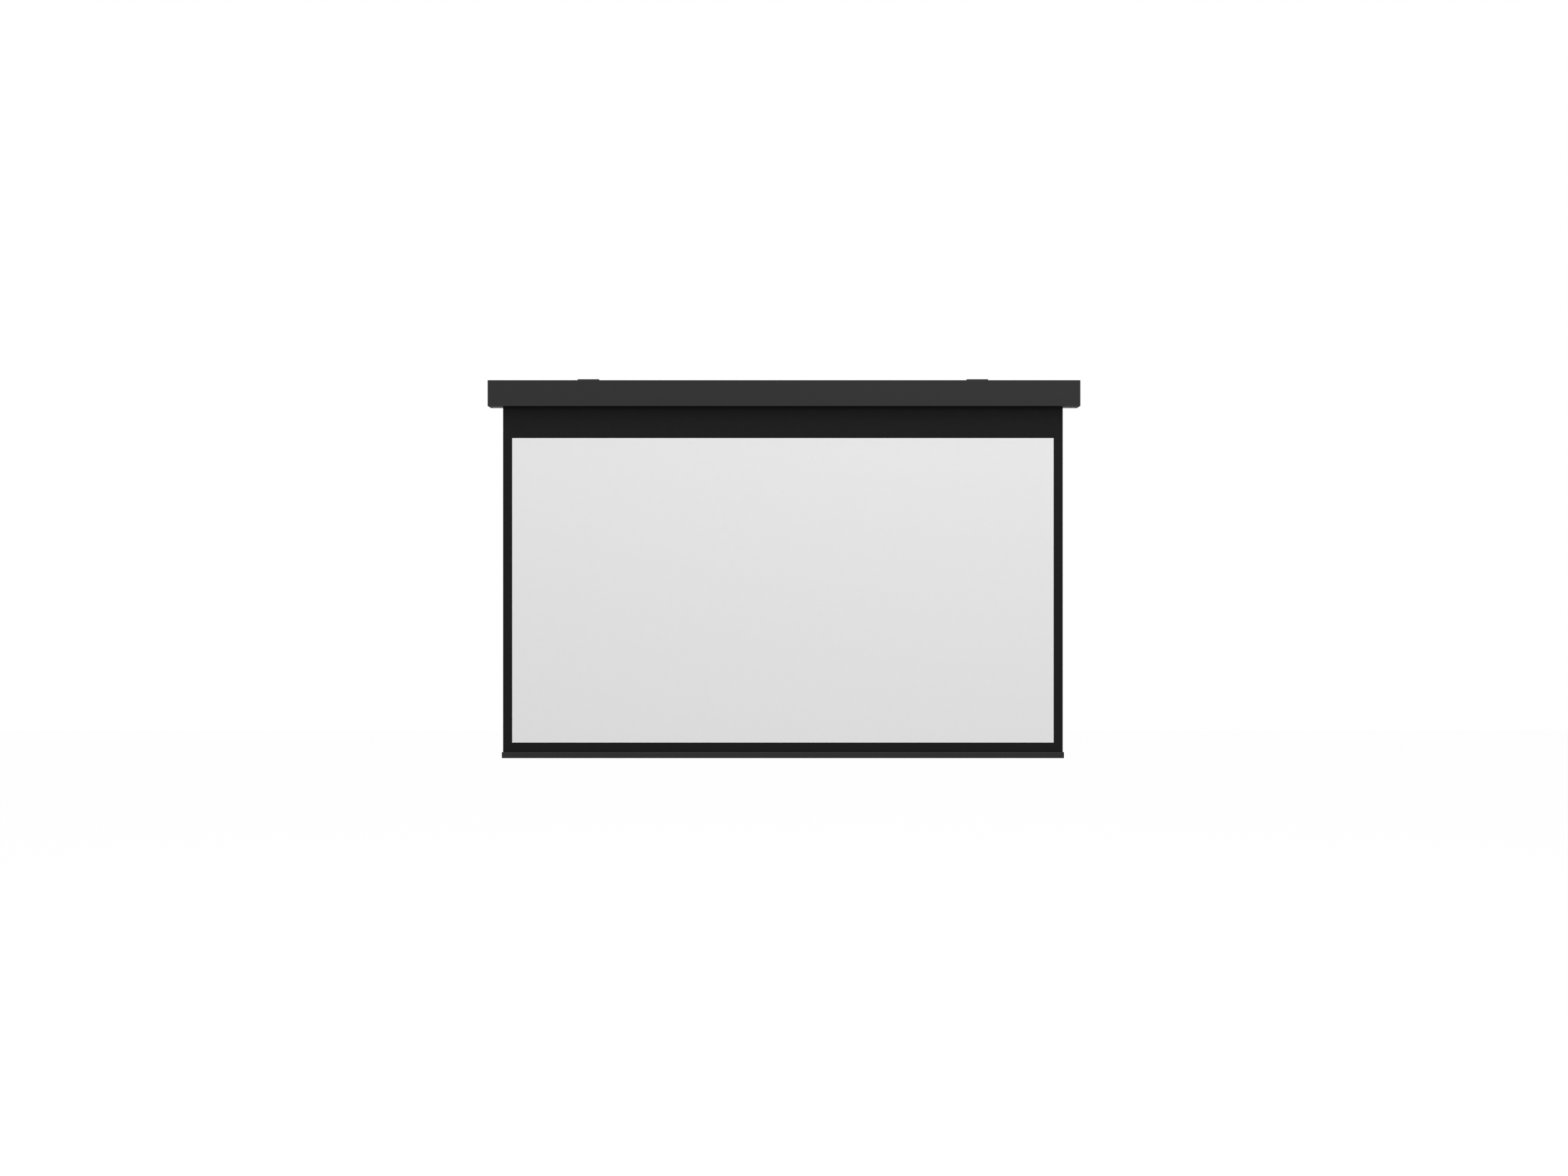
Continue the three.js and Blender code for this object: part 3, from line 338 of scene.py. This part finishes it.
def powder_coat(name, dark, light, specular):
    """Black paint with an orange peel, and with duller patches a hand wide."""
    material, tree, shader = new_finish(name)
    where = coordinates(tree)
    peel = noise(tree, where, PEEL, detail=3)
    patch = noise(tree, where, PAINT_PATCH, detail=2)
    tree.links.new(tint(tree, patch, dark, light), shader.inputs["Base Color"])
    tree.links.new(between(tree, patch, *PAINT_ROUGH), shader.inputs["Roughness"])
    shader.inputs["Specular IOR Level"].default_value = specular
    raise_by(tree, shader, peel, PEEL_HIGH, strength=1.0)
    return material


def moulded(name, dark, light, rough, specular=0.3):
    """Plastic or rubber with a fine grain, and with marks where it flowed in the mould."""
    material, tree, shader = new_finish(name)
    where = coordinates(tree)
    grain = noise(tree, where, GRAIN, detail=2)
    flow = noise(tree, where, PLASTIC_FLOW, detail=3)
    roughness = between(tree, flow, rough - PLASTIC_SPREAD, rough + PLASTIC_SPREAD)
    tree.links.new(tint(tree, flow, dark, light), shader.inputs["Base Color"])
    tree.links.new(roughness, shader.inputs["Roughness"])
    shader.inputs["Specular IOR Level"].default_value = specular
    raise_by(tree, shader, grain, GRAIN_HIGH, strength=0.8)
    return material


case_paint = powder_coat("case_powder_coat", grey(0.0115), grey(0.0145), specular=0.24)
bracket_paint = powder_coat("bracket_powder_coat", grey(0.008), grey(0.011), specular=0.15)
cap_plastic = moulded("cap_plastic", grey(0.014), grey(0.018), rough=0.6)
inner_plastic = moulded("inner_black_plastic", grey(0.012), grey(0.017), rough=0.5)
grey_plastic = moulded("wheel_plastic", (0.26, 0.27, 0.28), (0.3, 0.31, 0.32), rough=0.5)
white_plastic = moulded("bush_plastic", (0.68, 0.68, 0.65), (0.75, 0.75, 0.72), rough=0.45)
yellow_plastic = moulded("limit_plastic", (0.68, 0.42, 0.02), (0.75, 0.48, 0.03), rough=0.45)
cable_rubber = moulded("cable_rubber", grey(0.007), grey(0.011), rough=0.75, specular=0.2)
print("paint, plastic and rubber")

# %% [markdown]
# ## Metal finishes
# Zinc plate is bright but patchy, with a faint blue and yellow bloom. Drawn steel and extruded
# aluminium show fine lines along their length. An anisotropic shader could stand for such lines,
# but squeezing the noise to long thin streaks also shows them one by one from near.


# %% Metals
ALONG = (0.02, 1, 1)
BLOOM = 30
METAL_SPREAD = 0.08
METAL_LINES_HIGH = 0.01 * MM


def metal(name, dark, light, rough, stretch=(1, 1, 1), fine=700):
    """Bare or plated metal, with fine lines where the noise is stretched."""
    material, tree, shader = new_finish(name)
    lines = noise(tree, coordinates(tree, stretch), fine, detail=2)
    bloom = noise(tree, coordinates(tree), BLOOM, detail=3)
    roughness = between(tree, lines, rough - METAL_SPREAD, rough + METAL_SPREAD)
    tree.links.new(tint(tree, bloom, dark, light), shader.inputs["Base Color"])
    tree.links.new(roughness, shader.inputs["Roughness"])
    shader.inputs["Metallic"].default_value = 1.0
    raise_by(tree, shader, lines, METAL_LINES_HIGH, strength=0.6)
    return material


zinc_steel = metal("zinc_plate", (0.3, 0.315, 0.33), (0.4, 0.395, 0.365), rough=0.5)
bright_steel = metal(
    "drawn_steel", (0.46, 0.46, 0.47), (0.54, 0.54, 0.55), rough=0.3, stretch=ALONG,
)
raw_aluminium = metal(
    "mill_aluminium", (0.44, 0.45, 0.46), (0.52, 0.53, 0.54), rough=0.38, stretch=ALONG, fine=1500,
)
black_steel = metal("blackened_steel", (0.02, 0.02, 0.021), (0.035, 0.035, 0.037), rough=0.42)
print("zinc, steel and aluminium")

# %% [markdown]
# ## Cloth finishes
# The cloth is a woven glass or polyester base with a matt coating on each face, so its weave
# shows only as a very fine square relief, two threads a millimetre. The white face carries the
# picture, its border is black, and the whole back is black so that no light comes through. The
# threads could be modelled, but they cross millions of times. Two crossed waves draw them as a
# bump instead, on the sheet's own UV map, which is laid out in metres.


# %% Coated cloth
THREAD_PITCH = 0.5 * MM
# A wave texture of scale 1 has this many radians to the metre
WAVE_TURN = 20
WEAVE_SHARPNESS = 0.9
FACE_RELIEF = 0.03 * MM
BACK_RELIEF = 0.04 * MM
SLUB = 40


def coated_cloth(name, dark, light, rough, specular, relief):
    """A matt coated cloth whose threads cross along the UV map's two directions."""
    material, tree, shader = new_finish(name)
    where = coordinates(tree, source="UV")
    weave = []
    threads = 2 * math.pi / (WAVE_TURN * THREAD_PITCH)
    for direction in ("X", "Y"):
        wave = add_node(tree, "ShaderNodeTexWave", Scale=threads, bands_direction=direction)
        tree.links.new(where, wave.inputs["Vector"])
        weave.append(wave.outputs["Fac"])
    crossing = add_node(tree, "ShaderNodeMath", operation="MULTIPLY")
    tree.links.new(weave[0], crossing.inputs[0])
    tree.links.new(weave[1], crossing.inputs[1])
    slub = noise(tree, where, SLUB, detail=4)
    tree.links.new(tint(tree, slub, dark, light), shader.inputs["Base Color"])
    shader.inputs["Roughness"].default_value = rough
    shader.inputs["Specular IOR Level"].default_value = specular
    raise_by(tree, shader, crossing.outputs[0], relief, WEAVE_SHARPNESS)
    return material


picture_cloth = coated_cloth(
    "white_cloth_face", grey(0.79), grey(0.81), rough=0.85, specular=0.1, relief=FACE_RELIEF,
)
border_cloth = coated_cloth(
    "black_cloth_face", grey(0.0125), grey(0.0145), rough=0.9, specular=0.05, relief=FACE_RELIEF,
)
back_cloth = coated_cloth(
    "black_cloth_back", grey(0.012), grey(0.015), rough=0.8, specular=0.15, relief=BACK_RELIEF,
)
print("cloth: white face, black face, black back")

# %% [markdown]
# ## Hard pieces with soft edges
# An extrusion has no truly sharp edge, and a powder coat rounds it further. The light that such
# an edge catches is what tells the eye that it is real. Each outer piece could be modelled again,
# but its CAD shape is right. So it is copied from its node, its loose triangles are merged to
# whole faces, and a narrow bevel runs along its sharp outward edges. The bevel modifier would
# narrow all its bevels to the tightest corner, so the operator is used, without that limit. A long
# extrusion is rounded only along its length, because caps close its ends, and those ends are drawn
# out until they nearly touch the caps. Normals weighted by area keep the broad faces flat, so that
# only the bevels turn the light.


# %% Copy a CAD piece and close its ends
NEAR = 0.02 * MM
FLAT = math.radians(0.5)
END_SLACK = 0.05 * MM


def merged_copy(node, near=NEAR):
    """A copy of a CAD node whose loose triangles are merged to whole flat faces."""
    piece = nodes[node].copy()
    piece.data = nodes[node].data.copy()
    bpy.context.collection.objects.link(piece)
    open_mesh(piece)
    merge_near(near)
    bpy.ops.mesh.beautify_fill(angle_limit=FLAT)
    bpy.ops.mesh.dissolve_limited(angle_limit=FLAT)
    close_mesh()
    return piece


def close_joint(piece, reach):
    """Moves both ends of a long piece outwards until they nearly touch what closes them."""
    low = min(vert.co.x for vert in piece.data.vertices)
    high = max(vert.co.x for vert in piece.data.vertices)
    open_mesh(piece)
    for end, outward in ((low, -1), (high, 1)):
        pick(piece, "faces", lambda face: abs(face.calc_center_median().x - end) < END_SLACK)
        bpy.ops.transform.translate(value=(outward * reach, 0, 0))
    close_mesh()


print("copies join points nearer than", NEAR, "m")

# %% Round the edges
SLIVER = 0.002 * MM
SHARP = math.radians(40)
LENGTHWISE = 0.999
ROUND_BELOW = 60


def is_sharp(edge, lengthwise):
    """Whether an edge is sharp and points outwards, and runs along X where that is asked."""
    if not edge.is_convex or edge.calc_face_angle() <= SHARP:
        return False
    along = (edge.verts[1].co - edge.verts[0].co).normalized()
    return not lengthwise or abs(along.x) > LENGTHWISE


def round_edges(piece, width, lengthwise):
    """Bevels the sharp outward edges of a piece, or of a long extrusion only those along it."""
    open_mesh(piece, "EDGE")
    pick(piece, "edges", lambda edge: is_sharp(edge, lengthwise))
    bpy.ops.mesh.bevel(
        offset=width, segments=2, affect="EDGES", clamp_overlap=False, loop_slide=False,
    )
    merge_near(SLIVER)
    close_mesh()


def softened(node, name, material, width, reach=0, near=NEAR):
    """A merged copy of a CAD node with a narrow rounded bevel; reach is for long extrusions."""
    piece = merged_copy(node, near)
    if reach:
        close_joint(piece, reach)
    round_edges(piece, width, lengthwise=reach > 0)
    smooth(piece, ROUND_BELOW)
    modify(piece, "WEIGHTED_NORMAL", weight=100, keep_sharp=True)
    hand_over(piece, name, material, node)
    print(name, len(piece.data.polygons), "faces")


print("sharp from", round(math.degrees(SHARP)), "degrees")

# %% Soften the outer pieces
END_REACH = 0.28 * MM
CASE_EDGE = 0.35 * MM
CAP_EDGE = 0.4 * MM
SMALL_EDGE = 0.3 * MM
LOCK_EDGE = 0.25 * MM

softened("case_profile", "case_extrusion", case_paint, CASE_EDGE, END_REACH)
softened("bottom_cover", "cover_sheet", case_paint, SMALL_EDGE, END_REACH)
softened("end_cap_left", "cap_left", cap_plastic, CAP_EDGE)
softened("end_cap_right", "cap_right", cap_plastic, CAP_EDGE)
softened("bracket_left", "hanger_left", bracket_paint, SMALL_EDGE)
softened("bracket_right", "hanger_right", bracket_paint, SMALL_EDGE)
softened("bracket_lock_left", "slide_lock_left", zinc_steel, LOCK_EDGE)
softened("bracket_lock_right", "slide_lock_right", zinc_steel, LOCK_EDGE)
softened("weight_bar_profile", "bar_extrusion", case_paint, SMALL_EDGE, END_REACH)
softened("bar_end_cap_left", "bar_cap_left", cap_plastic, SMALL_EDGE)
softened("bar_end_cap_right", "bar_cap_right", cap_plastic, SMALL_EDGE)

# %% [markdown]
# ## The hardware inside
# What sits inside the case shows through the cloth's slot and the open bracket channel. It could
# keep its bare CAD look there, but a bright edge or a grey tube in the dark catches the eye. So
# each piece gets its real finish, a fine edge, and round faces that shade as round. Three of them
# have tiny steps between their faces, which are merged first, because a bevel folds there. The
# rubber lead and the thin spline have no hard edge and are only shaded smooth.

# %% Dress the hardware inside
FINE_EDGE = 0.15 * MM
TINY_STEP = 0.25 * MM
tiny_steps = ("motor_head", "idle_plug", "drive_wheel")
inner_finishes = {
    "idle_bracket": zinc_steel,
    "motor_bracket": zinc_steel,
    "output_shaft": bright_steel,
    "idle_pin": bright_steel,
    "motor_clip": bright_steel,
    "ballast_bar": bright_steel,
    "hem_rod": bright_steel,
    "roller_tube": raw_aluminium,
    "motor_tube": raw_aluminium,
    "motor_head": inner_plastic,
    "crown_ring": inner_plastic,
    "idle_plug": inner_plastic,
    "terminal_box": inner_plastic,
    "terminal_lid": inner_plastic,
    "drive_wheel": grey_plastic,
    "idle_bearing": white_plastic,
    "terminal_block": white_plastic,
    "limit_screw_down": white_plastic,
    "limit_screw_up": yellow_plastic,
}
for node, material in inner_finishes.items():
    near = TINY_STEP if node in tiny_steps else NEAR
    softened(node, f"fine_{node}", material, FINE_EDGE, near=near)
for node, material in (("fabric_spline", grey_plastic), ("motor_lead", cable_rubber)):
    piece = merged_copy(node)
    smooth(piece, ROUND_BELOW)
    hand_over(piece, f"fine_{node}", material, node)
print(len(inner_finishes) + 2, "inner pieces dressed")

# %% [markdown]
# ## The hanging cloth
# On the real screen one sheet runs from the roller to the bar. A cloth simulation could hang it,
# but the weighted bar pulls it taut, and the photograph shows it flat. So it is one plane, cut
# with bisect where the white picture meets its borders, so that each part can have its own face
# material. Then it gets its half millimetre of thickness. The top winds onto the roller.

# %% Cut the sheet
drop_low, drop_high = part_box("black_drop")
view_low, view_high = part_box("viewing_surface")
CLOTH_TOP = -57 * MM
CLOTH_THICK = 0.5 * MM
CLOTH_Y = (view_low[1] + view_high[1]) / 2
cloth_wide = drop_high[0] - drop_low[0]
cloth_long = CLOTH_TOP - view_low[2]

bpy.ops.object.select_all(action="DESELECT")
bpy.ops.mesh.primitive_plane_add(
    size=1,
    location=((drop_low[0] + drop_high[0]) / 2, CLOTH_Y, CLOTH_TOP - cloth_long / 2),
    rotation=(math.pi / 2, 0, 0),
)
sheet = bpy.context.object
sheet.scale = (cloth_wide, cloth_long, 1)
settle(sheet)
open_mesh(sheet)
for cut_at, across in (
    ((view_low[0], 0, 0), (1, 0, 0)),
    ((view_high[0], 0, 0), (1, 0, 0)),
    ((0, 0, view_high[2]), (0, 0, 1)),
):
    bpy.ops.mesh.select_all(action="SELECT")
    bpy.ops.mesh.bisect(plane_co=cut_at, plane_no=across)
close_mesh()
print(f"sheet {cloth_wide:.4f} by {cloth_long:.4f} m in {len(sheet.data.polygons)} faces")


# %% Map and thicken the sheet
# A face looks along an axis where its normal's part along it is more than this
CLEARLY = 0.5


def map_in_metres(piece):
    """Gives a piece a UV map in which one unit is one metre."""
    open_mesh(piece)
    bpy.ops.uv.cube_project(cube_size=1.0, correct_aspect=False)
    close_mesh()


map_in_metres(sheet)
for cloth_face in (border_cloth, back_cloth, picture_cloth):
    sheet.data.materials.append(cloth_face)
modify(sheet, "SOLIDIFY", thickness=CLOTH_THICK, offset=0)
for face in sheet.data.polygons:
    x, y, z = face.center
    in_picture = view_low[0] < x < view_high[0] and z < view_high[2]
    if face.normal.y < -CLEARLY:
        face.material_index = 2 if in_picture else 0
    else:
        face.material_index = 1
print("sheet is", CLOTH_THICK, "m thick")

# %% Hang the sheet
sheet.name = "screen_cloth"
sheet.data.name = "screen_cloth"
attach(sheet, "case")
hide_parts("viewing_surface", "black_drop", "mask_left", "mask_right")
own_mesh(sheet)

# %% [markdown]
# ## The bottom border and its pocket
# Below the picture the cloth goes into the bar. It is folded back round a steel rod and welded,
# and the bar's groove holds the rod. The fold could be a bent box, but a sheet has one thickness
# all along. So the strip is drawn as by hand: an edge along the bar is extruded down, then round
# the rod, and the weld is a second layer behind it.


# %% Draw a strip along a path
PLANE_SIDE = 1


def drawn_strip(name, left, right, path):
    """A sheet along X that follows a path of (y, z) points, made by extruding one edge."""
    bpy.ops.object.select_all(action="DESELECT")
    start_y, start_z = path[0]
    middle = ((left + right) / 2, start_y, start_z)
    bpy.ops.mesh.primitive_plane_add(size=PLANE_SIDE, location=middle)
    strip = bpy.context.object
    strip.scale = (right - left, 1, 1)
    settle(strip)
    open_mesh(strip, "VERT")
    pick(strip, "verts", lambda vert: vert.co.y > start_y)
    bpy.ops.mesh.delete(type="VERT")
    bpy.ops.mesh.select_mode(type="EDGE")
    bpy.ops.mesh.select_all(action="SELECT")
    bpy.ops.transform.translate(value=(0, PLANE_SIDE / 2, 0))
    for (y0, z0), (y1, z1) in zip(path, path[1:]):
        step = {"value": (0, y1 - y0, z1 - z0)}
        bpy.ops.mesh.extrude_edges_move(TRANSFORM_OT_translate=step)
    close_mesh()
    strip.name = name
    return strip


def thicken(piece, front, back):
    """Maps a strip and gives it its thickness, with one material in front and one behind."""
    map_in_metres(piece)
    piece.data.materials.append(front)
    piece.data.materials.append(back)
    modify(
        piece, "SOLIDIFY", thickness=CLOTH_THICK, offset=0,
        material_offset=1, material_offset_rim=1,
    )


print("strip helpers ready")

# %% Bottom border
hem_low, hem_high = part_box("mask_bottom")
rod_low, rod_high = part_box("hem_rod")
rod_z = (rod_low[2] + rod_high[2]) / 2
ROD_TURN = 2.55 * MM
TURN_STEPS = 20
HEM_SEAM = 0.02 * MM
FOLD_START = math.radians(98)
FOLD_ROUND = math.radians(340)

hem_top = view_low[2] - HEM_SEAM
fold = []
for step in range(TURN_STEPS + 1):
    angle = FOLD_START + FOLD_ROUND * step / TURN_STEPS
    fold.append((CLOTH_Y + ROD_TURN * math.cos(angle), rod_z + ROD_TURN * math.sin(angle)))
leg = [(CLOTH_Y, z) for z in (hem_top, (hem_top + rod_z) / 2, rod_z + 2 * ROD_TURN)]
hem_path = [*leg, *fold]
hem = drawn_strip("hem", hem_low[0], hem_high[0], hem_path)
thicken(hem, border_cloth, back_cloth)
smooth(hem)
print("hem", len(hem.data.polygons), "faces")

# %% Weld the pocket
WELD_HIGH = 8 * MM
WELD_DOWN = 0.6
WELD_BEHIND = 1.1

weld_y = CLOTH_Y + WELD_BEHIND * CLOTH_THICK
weld_top = hem_high[2] - WELD_DOWN * (hem_high[2] - rod_z)
weld_path = [(weld_y, weld_top), (weld_y, weld_top - WELD_HIGH)]
weld = drawn_strip("hem_weld", hem_low[0], hem_high[0], weld_path)
thicken(weld, back_cloth, back_cloth)
only(weld)
hem.select_set(True)
bpy.context.view_layer.objects.active = hem
bpy.ops.object.join()
hand_over(hem, "hem_border", None, "mask_bottom")

# %% [markdown]
# ## The turns on the roller
# With the screen down, one and a quarter turns stay on the tube. A plain cylinder could stand for
# them, but the cloth's edge shows at the slot's ends. So the cloth comes out of the tube's groove,
# winds on as a spiral that grows by its own thickness, and leaves at the front, level with the
# axis. The same edge and extrude way draws it, with a point every five degrees.

# %% Wind the roller
wraps_low, wraps_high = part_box("fabric_wraps")
FIRST_RADIUS = 30.55 * MM
LAST_RADIUS = 31.7 * MM
LEG_RADIUS = 27.1 * MM
TURNS = 1 + 100 / 360
SPIRAL_STEPS = 92
axis_y = wraps_low[1] + CLOTH_THICK / 2 + LAST_RADIUS
axis_z = CLOTH_TOP


def round_axis(radius, angle):
    """The (y, z) point at this radius and angle from the roller's axis."""
    return axis_y + radius * math.cos(angle), axis_z + radius * math.sin(angle)


winding = [round_axis(LEG_RADIUS, math.pi - 2 * math.pi * TURNS)]
for step in range(SPIRAL_STEPS + 1):
    wound = step / SPIRAL_STEPS
    angle = math.pi - 2 * math.pi * TURNS * (1 - wound)
    winding.append(round_axis(FIRST_RADIUS + (LAST_RADIUS - FIRST_RADIUS) * wound, angle))
roll = drawn_strip("cloth_roll", wraps_low[0], wraps_high[0], winding)
thicken(roll, border_cloth, back_cloth)
smooth(roll)
hand_over(roll, "wound_cloth", None, "fabric_wraps")

# %% [markdown]
# ## Screws
# The screws come in two kinds: countersunk ones in the end caps and pan heads elsewhere. A turned
# piece could be stacked from cylinders and cones, but a profile spun round its axis gives one
# closed skin. Both kinds have a cross recess, which two tapered wedges cut with a boolean. Each
# kind is modelled once, point down on Z, and then copied, turned and placed.


# %% Spin a profile
START_SIDE = 0.1 * MM
SPIN_NEAR = 0.01 * MM
SPIN_STEPS = 32


def spun(profile):
    """A turned piece about Z from a list of (radius, height) that starts and ends on the axis."""
    bpy.ops.object.select_all(action="DESELECT")
    radius, height = profile[0]
    bpy.ops.mesh.primitive_plane_add(size=START_SIDE, location=(radius, 0, height))
    piece = bpy.context.object
    settle(piece)
    open_mesh(piece, "VERT")
    bpy.ops.mesh.merge(type="CENTER")
    for (r0, h0), (r1, h1) in zip(profile, profile[1:]):
        step = {"value": (r1 - r0, 0, h1 - h0)}
        bpy.ops.mesh.extrude_vertices_move(TRANSFORM_OT_translate=step)
    bpy.ops.mesh.select_all(action="SELECT")
    bpy.ops.mesh.spin(steps=SPIN_STEPS, angle=2 * math.pi, center=(0, 0, 0), axis=(0, 0, 1))
    merge_near(SPIN_NEAR)
    bpy.ops.mesh.normals_make_consistent(inside=False)
    close_mesh()
    return piece


print("turned pieces have", SPIN_STEPS, "sides")

# %% Cut with a block
# A cross recess: how wide an arm is to its reach, and how much it narrows to its foot
ARM_WIDE = 0.42
ARM_TAPER = 0.4


def cut_block(middle_z, size, turn):
    """A block to cut with, centred on the Z axis."""
    bpy.ops.object.select_all(action="DESELECT")
    bpy.ops.mesh.primitive_cube_add(size=1, location=(0, 0, middle_z))
    block = bpy.context.object
    block.scale = size
    block.rotation_euler = (0, 0, turn)
    settle(block)
    return block


def cut_away(piece, block):
    """Cuts a block out of a piece and removes the block."""
    modify(piece, "BOOLEAN", object=block, operation="DIFFERENCE", solver="EXACT")
    bpy.data.objects.remove(block)


def cross_recess(piece, top, reach, deep):
    """Cuts a cross recess into the head at the height top."""
    for turn in (0, math.pi / 2):
        wedge = cut_block(top, (2 * reach, ARM_WIDE * reach, 2 * deep), turn)
        open_mesh(wedge)
        pick(wedge, "faces", lambda face: face.normal.z < -CLEARLY)
        bpy.ops.transform.resize(value=(ARM_TAPER, ARM_TAPER, 1))
        close_mesh()
        cut_away(piece, wedge)
    open_mesh(piece, "VERT")
    merge_near(SLIVER)
    close_mesh()


print("cutting helpers ready")

# %% Model the countersunk screw
SHANK = 1.75 * MM
SINK = 3.7 * MM
SINK_RIM = 0.25 * MM
SINK_RIM_FALL = 0.2 * MM
SINK_DEEP = 2 * MM
SINK_LONG = 18 * MM
SINK_CROSS = 2.1 * MM
SINK_CROSS_DEEP = 1.6 * MM

sink_screw = spun([
    (0, 0), (SINK - SINK_RIM, 0), (SINK, -SINK_RIM_FALL), (SHANK, -SINK_DEEP),
    (SHANK, -SINK_LONG + SHANK), (SHANK / 2, -SINK_LONG), (0, -SINK_LONG),
])
cross_recess(sink_screw, 0, SINK_CROSS, SINK_CROSS_DEEP)
smooth(sink_screw)
print("countersunk screw", len(sink_screw.data.polygons), "faces")

# %% Model the pan head screws
PAN = 3.6 * MM
PAN_HIGH = 2.2 * MM
PAN_WALL = 0.45
PAN_CROSS = 2 * MM
PAN_CROSS_DEEP = 1.4 * MM
DOME_STEPS = 6
COVER_LONG = 7.8 * MM
PLATE_LONG = 7.6 * MM


def pan_screw(long):
    """A screw under a domed head, with its shank this long."""
    dome = []
    for step in range(DOME_STEPS + 1):
        angle = math.pi / 2 * step / DOME_STEPS
        high = PAN_HIGH * (PAN_WALL + (1 - PAN_WALL) * math.cos(angle))
        dome.append((PAN * math.sin(angle), high))
    shank = [(SHANK, 0), (SHANK, -long + SHANK), (SHANK / 2, -long), (0, -long)]
    piece = spun([*dome, (PAN, 0), *shank])
    cross_recess(piece, PAN_HIGH, PAN_CROSS, PAN_CROSS_DEEP)
    smooth(piece)
    return piece


cover_kind = pan_screw(COVER_LONG)
plate_kind = pan_screw(PLATE_LONG)
print("pan head screws", len(cover_kind.data.polygons), "faces each")


# %% Copy and place the screws
# How far one screw is turned from the next, in degrees
CAP_SPIN = 37
COVER_SPIN = 25
PLATE_SPIN = 50


def copied(source, name, at, turn, material, node, spin_by):
    """A copy with its own mesh, spun on its axis, turned and placed, that stands for a node."""
    piece = source.copy()
    piece.data = source.data.copy()
    bpy.context.collection.objects.link(piece)
    piece.rotation_euler = (0, 0, math.radians(spin_by))
    settle(piece)
    piece.rotation_euler = turn
    piece.location = at
    settle(piece)
    hand_over(piece, name, material, node)


def centre(node):
    """The middle of a node's box."""
    low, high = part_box(node)
    return [(a + b) / 2 for a, b in zip(low, high)]


for side, outward in (("left", -1), ("right", 1)):
    turn = (0, outward * math.pi / 2, 0)
    for number in range(1, 5):
        node = f"cap_screw_{side}_{number}"
        x, y, z = centre(node)
        low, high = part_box(node)
        at = (high[0] if outward > 0 else low[0], y, z)
        name = f"cap_countersunk_{side}_{number}"
        copied(sink_screw, name, at, turn, black_steel, node, CAP_SPIN * number)
    node = f"cover_screw_{side}"
    x, y, z = centre(node)
    at = (x, y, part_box(node)[0][2] + PAN_HIGH)
    name = f"cover_pan_{side}"
    copied(cover_kind, name, at, (math.pi, 0, 0), black_steel, node, COVER_SPIN * outward)
plate_screws = ("idle_screw_front", "idle_screw_rear", "motor_screw_front", "motor_screw_rear")
for number, node in enumerate(plate_screws):
    x, y, z = centre(node)
    at = (x, y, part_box(node)[1][2] - PAN_HIGH)
    name = node.replace("screw", "pan")
    copied(plate_kind, name, at, (0, 0, 0), zinc_steel, node, PLATE_SPIN * number)
for source in (sink_screw, cover_kind, plate_kind):
    bpy.data.objects.remove(source)
print("fourteen screws placed")

# %% [markdown]
# ## The cable grommet
# A rubber grommet seals the hole in the rear wall where a mains cord goes in. It has two rims, a
# groove between them that holds the sheet, and a thin web in the middle with a cross cut in it.
# The cross could be painted on, but a real cut is dark from every side. So the grommet is spun
# like the screws, and two thin blades cut the web.

# %% Turn the grommet
# Radius and height in millimetres: the web's inner side, the inner rim, the groove, the outer rim
GROMMET = (
    (0, 1.2), (4.6, 1.2), (4.9, -2.8),
    (9.1, -2.8), (9.5, -2.4), (9.5, -1.7), (9.1, -1.3),
    (6.7, -1.3), (6.7, 1.3),
    (9.5, 1.3), (9.5, 1.9), (9.2, 2.4), (8.6, 2.8), (5.6, 2.8),
    (5.0, 2.0), (0, 2.0),
)
BLADE = (7 * MM, 0.25 * MM, 3 * MM)
WEB_MIDDLE = 1.6 * MM
BLADE_TURN = 0.4

grommet = spun([(radius * MM, height * MM) for radius, height in GROMMET])
for turn in (BLADE_TURN, BLADE_TURN + math.pi / 2):
    cut_away(grommet, cut_block(WEB_MIDDLE, BLADE, turn))
grommet.rotation_euler = (-math.pi / 2, 0, 0)
grommet.location = centre("cable_grommet")
settle(grommet)
smooth(grommet)
hand_over(grommet, "rubber_grommet", cable_rubber, "cable_grommet")
print("grommet turned")

# %% [markdown]
# ## The floor
# The screen hangs free, so the floor is far below the camera's view. It could be left out, but
# then the screen's shadow would fall on nothing. It is pale, it shows white to the camera and to
# reflections, and it keeps a faint shadow.

# %% Floor
FLOOR_Z = -3.4
FLOOR_SIDE = 60
FLOOR_GLOW = 0.94

bpy.ops.object.select_all(action="DESELECT")
bpy.ops.mesh.primitive_plane_add(size=FLOOR_SIDE, location=(0, 0, FLOOR_Z))
floor = bpy.context.object
floor.name = "studio_floor"
white_floor = bpy.data.materials.new("white_floor")
white_floor.use_nodes = True
tree = white_floor.node_tree
tree.nodes.clear()
matt = add_node(tree, "ShaderNodeBsdfDiffuse", Color=(*grey(0.5), 1))
shadowed = add_node(tree, "ShaderNodeBsdfDiffuse", Color=(*grey(0.1), 1))
glow = add_node(tree, "ShaderNodeEmission", Color=WHITE, Strength=FLOOR_GLOW)
shown = add_node(tree, "ShaderNodeAddShader")
tree.links.new(shadowed.outputs[0], shown.inputs[0])
tree.links.new(glow.outputs[0], shown.inputs[1])
sees_floor = ray_is(tree, "Is Camera Ray", "Is Glossy Ray")
surface = add_node(tree, "ShaderNodeOutputMaterial")
tree.links.new(choose(tree, sees_floor, matt, shown), surface.inputs["Surface"])
floor.data.materials.append(white_floor)
print("floor at", FLOOR_Z)
